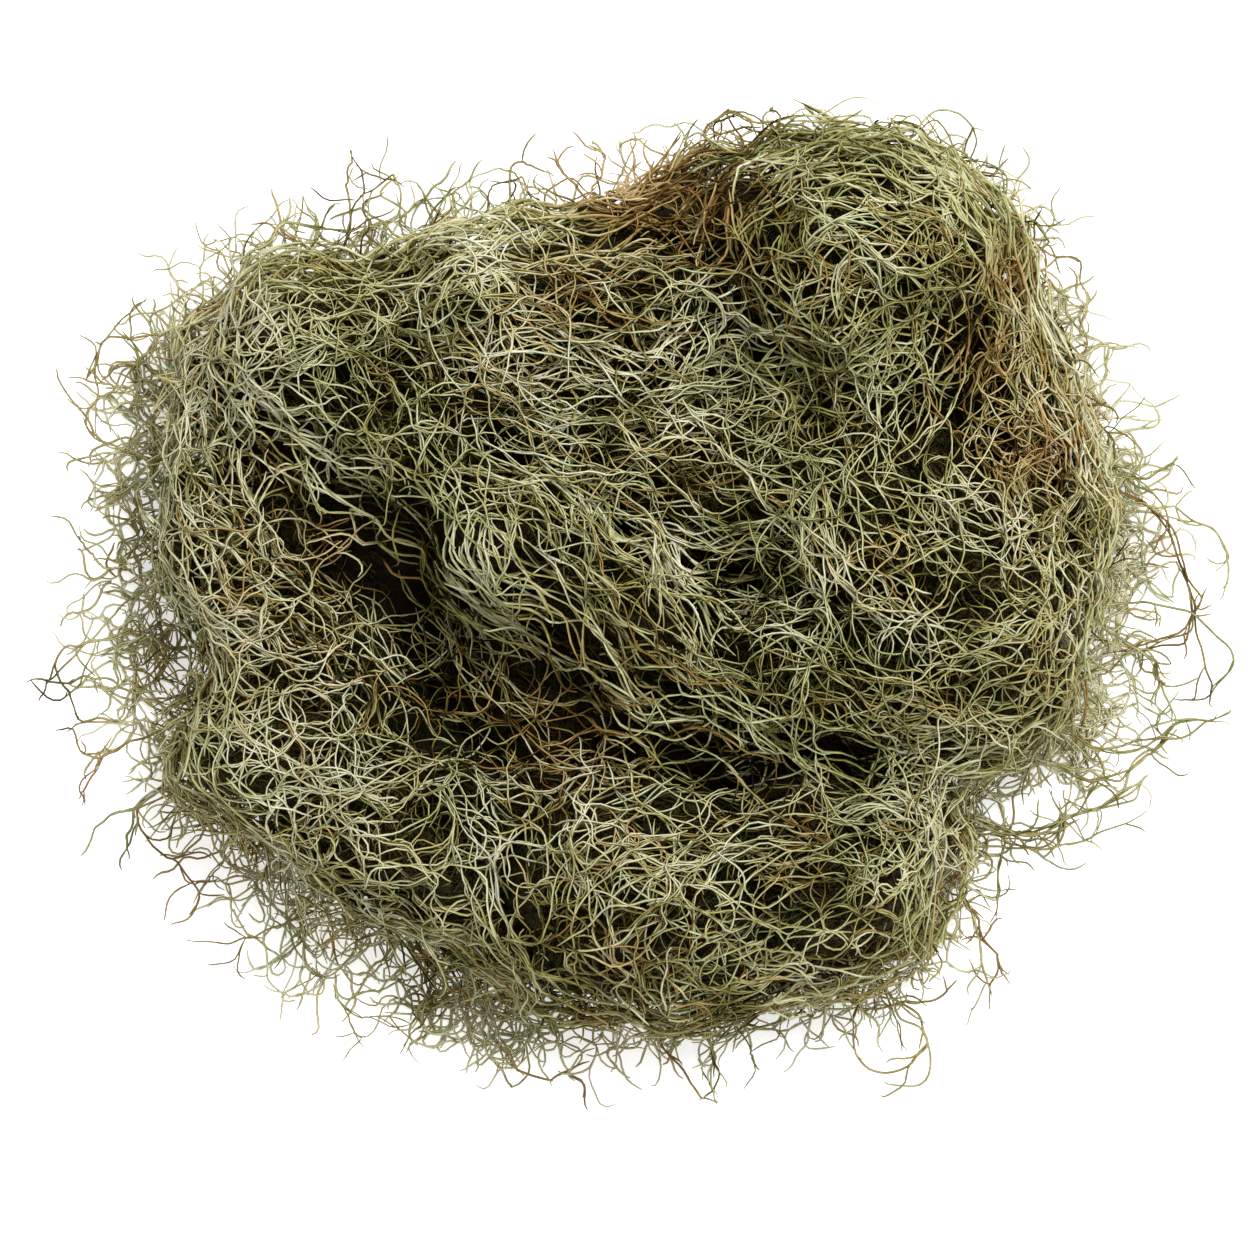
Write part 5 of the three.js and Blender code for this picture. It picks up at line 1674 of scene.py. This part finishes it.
def attribute(tree, name):
    """The outputs of a mesh attribute."""
    node = tree.nodes.new("ShaderNodeAttribute")
    node.attribute_name = name
    return node.outputs


def fibres(tree, place):
    """How far it is to the nearest of many winding lines, which run where a noise has a set level."""
    channels = parts_of(tree, noise(tree, place, FIBRE_SCALE)["Color"])
    away = [
        reckon(tree, "ABSOLUTE", reckon(tree, "SUBTRACT", channel, level))
        for channel in channels for level in FIBRE_LEVELS
    ]
    return functools.reduce(lambda first, second: reckon(tree, "MINIMUM", first, second), away)


def new_material(name, **values):
    """A material with its node tree and its shader, which has these values."""
    material = bpy.data.materials.new(name)
    material.use_nodes = True
    shader = material.node_tree.nodes["Principled BSDF"]
    for key, value in values.items():
        shader.inputs[key.replace("_", " ")].default_value = value
    return material, material.node_tree, shader


def strand_material(name):
    """Moss strands: tone, brownness and hue from the mesh, mottled in two sizes, dull."""
    material, tree, shader = new_material(name, Roughness=0.75, Specular_IOR_Level=0.06)
    tone, warmth, hue = parts_of(tree, attribute(tree, "look")["Color"])
    place = tree.nodes.new("ShaderNodeTexCoord").outputs["Object"]
    level = add_share(tree, noise(tree, place, MOTTLE_SCALE)[0], MOTTLE_SHARE, tone)
    level = add_share(tree, noise(tree, place, PATCH_SCALE)[0], PATCH_SHARE, level)
    fresh, olive, dead = [ramp(tree, level, stops) for stops in (FRESH, OLIVE, DEAD)]
    strand = mix(tree, warmth, mix(tree, hue, fresh, olive), dead)
    # On the dark inside, warmth holds the strength of the dark spots, which hides fibres there as painted
    # shade.
    gap = reckon(tree, "MULTIPLY_ADD", warmth, HOLE_SHADE, fibres(tree, place))
    dark = ramp(tree, gap, INSIDE_FIBRES_AND_SHADE)
    colour = mix(tree, attribute(tree, "inside")["Fac"], strand, dark)
    tree.links.new(colour, shader.inputs["Base Color"])
    return material


# ---- the bunch -------------------------------------------------------------------------------------
STEM_NUMBER = 1800
LEAF_NUMBER = 7000
FLYAWAY_NUMBER = 420
WHISKER_NUMBER = 300
FLANK_THREAD_NUMBER = 520
HEM_SHARE = 0.2


def new_object(name, data):
    """An object in the scene."""
    thing = bpy.data.objects.new(name, data)
    bpy.context.scene.collection.objects.link(thing)
    return thing


def grow_bunch():
    """All the strands, in batches."""
    stems = grow_stems(STEM_NUMBER)
    batches = [stems, grow_leaves(stems, LEAF_NUMBER)]
    batches += [grow_swath(*lay) for lay in LAYS.values()]
    for line, inmost, _, number, _ in NETS.values():
        batches.append(grow_hem(line, inmost, int(HEM_SHARE * number)))
    batches += [grow_net(*net) for net in NETS.values()]
    loose = [grow_flyaways(FLYAWAY_NUMBER), grow_strays()]
    batches += loose + [grow_whiskers(batch, WHISKER_NUMBER) for batch in loose]
    batches.append(grow_flank_threads(FLANK_THREAD_NUMBER))
    cling(batches)
    return batches


def make_bunch():
    """A mesh for each wad."""
    batches = grow_bunch()
    slots = dict.fromkeys(wad["slot"] for wad in WADS.values())
    materials = {slot: strand_material(slot) for slot in slots}
    direction, corners = ball_shape()
    for index, (name, wad) in enumerate(WADS.items()):
        builder = Builder()
        add_core(builder, name, direction, corners)
        for batch in batches:
            add_strands(builder, batch, index)
        piece = new_object(name + "_moss", make_mesh(name + "_moss", builder))
        piece.data.materials.append(materials[wad["slot"]])
        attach(piece, "root")
        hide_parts(name)


# ---- the set: floor, light and camera --------------------------------------------------------------
FLOOR_SIZE = 4.0  # half its width, in m, as are all lengths of the set
FLOOR_WHITE = (0.93, 0.93, 0.93, 1)
FLOOR_GLOW = 0.55  # the table is lit from below a little, so shadows on it stay pale
LIGHT_PLACE = (0.45, 0.65, 1.6)
LIGHT_SIZE = 0.7
LIGHT_POWER = 36
SKY_STRENGTH = 0.7


def make_floor():
    """The white table."""
    mesh = bpy.data.meshes.new("floor")
    corners = [(-1, -1), (1, -1), (1, 1), (-1, 1)]
    mesh.from_pydata([(x * FLOOR_SIZE, y * FLOOR_SIZE, 0) for x, y in corners], [], [(0, 1, 2, 3)])
    floor = new_object("floor", mesh)
    material, _, _ = new_material(
        "floor", Base_Color=FLOOR_WHITE, Roughness=0.9, Specular_IOR_Level=0.1,
        Emission_Color=(1, 1, 1, 1), Emission_Strength=FLOOR_GLOW,
    )
    mesh.materials.append(material)


def make_light():
    """A broad light behind and to the right, which points at the bunch."""
    data = bpy.data.lights.new("key", "AREA")
    data.shape = "DISK"
    data.size = LIGHT_SIZE
    data.energy = LIGHT_POWER
    light = new_object("key", data)
    light.location = LIGHT_PLACE
    light.rotation_euler = (-Vector(LIGHT_PLACE)).to_track_quat("-Z", "Y").to_euler()


def make_camera():
    """Straight above the bunch, with a long lens, so that the bunch fills the frame as in the picture."""
    data = bpy.data.cameras.new("camera")
    data.sensor_width = SENSOR
    data.lens = SENSOR * (CAMERA_HEIGHT - PICTURE_HEIGHT) / (PICTURE_SIZE * PIXEL)
    data.clip_end = 100
    camera = new_object("camera", data)
    middle = from_picture([(PICTURE_SIZE / 2, PICTURE_SIZE / 2)])[0] * MM
    camera.location = (middle[0], middle[1], CAMERA_HEIGHT * MM)
    bpy.context.scene.camera = camera


def make_world():
    """An even white sky, and plain colours."""
    world = bpy.data.worlds.new("world")
    bpy.context.scene.world = world
    world.use_nodes = True
    background = world.node_tree.nodes["Background"]
    background.inputs[0].default_value = (1, 1, 1, 1)
    background.inputs[1].default_value = SKY_STRENGTH
    settings = bpy.context.scene.view_settings
    settings.view_transform = "Standard"
    settings.look = "None"
    settings.exposure = 0.0
    settings.gamma = 1.0


make_camera()
make_world()
make_light()
make_floor()
make_bunch()
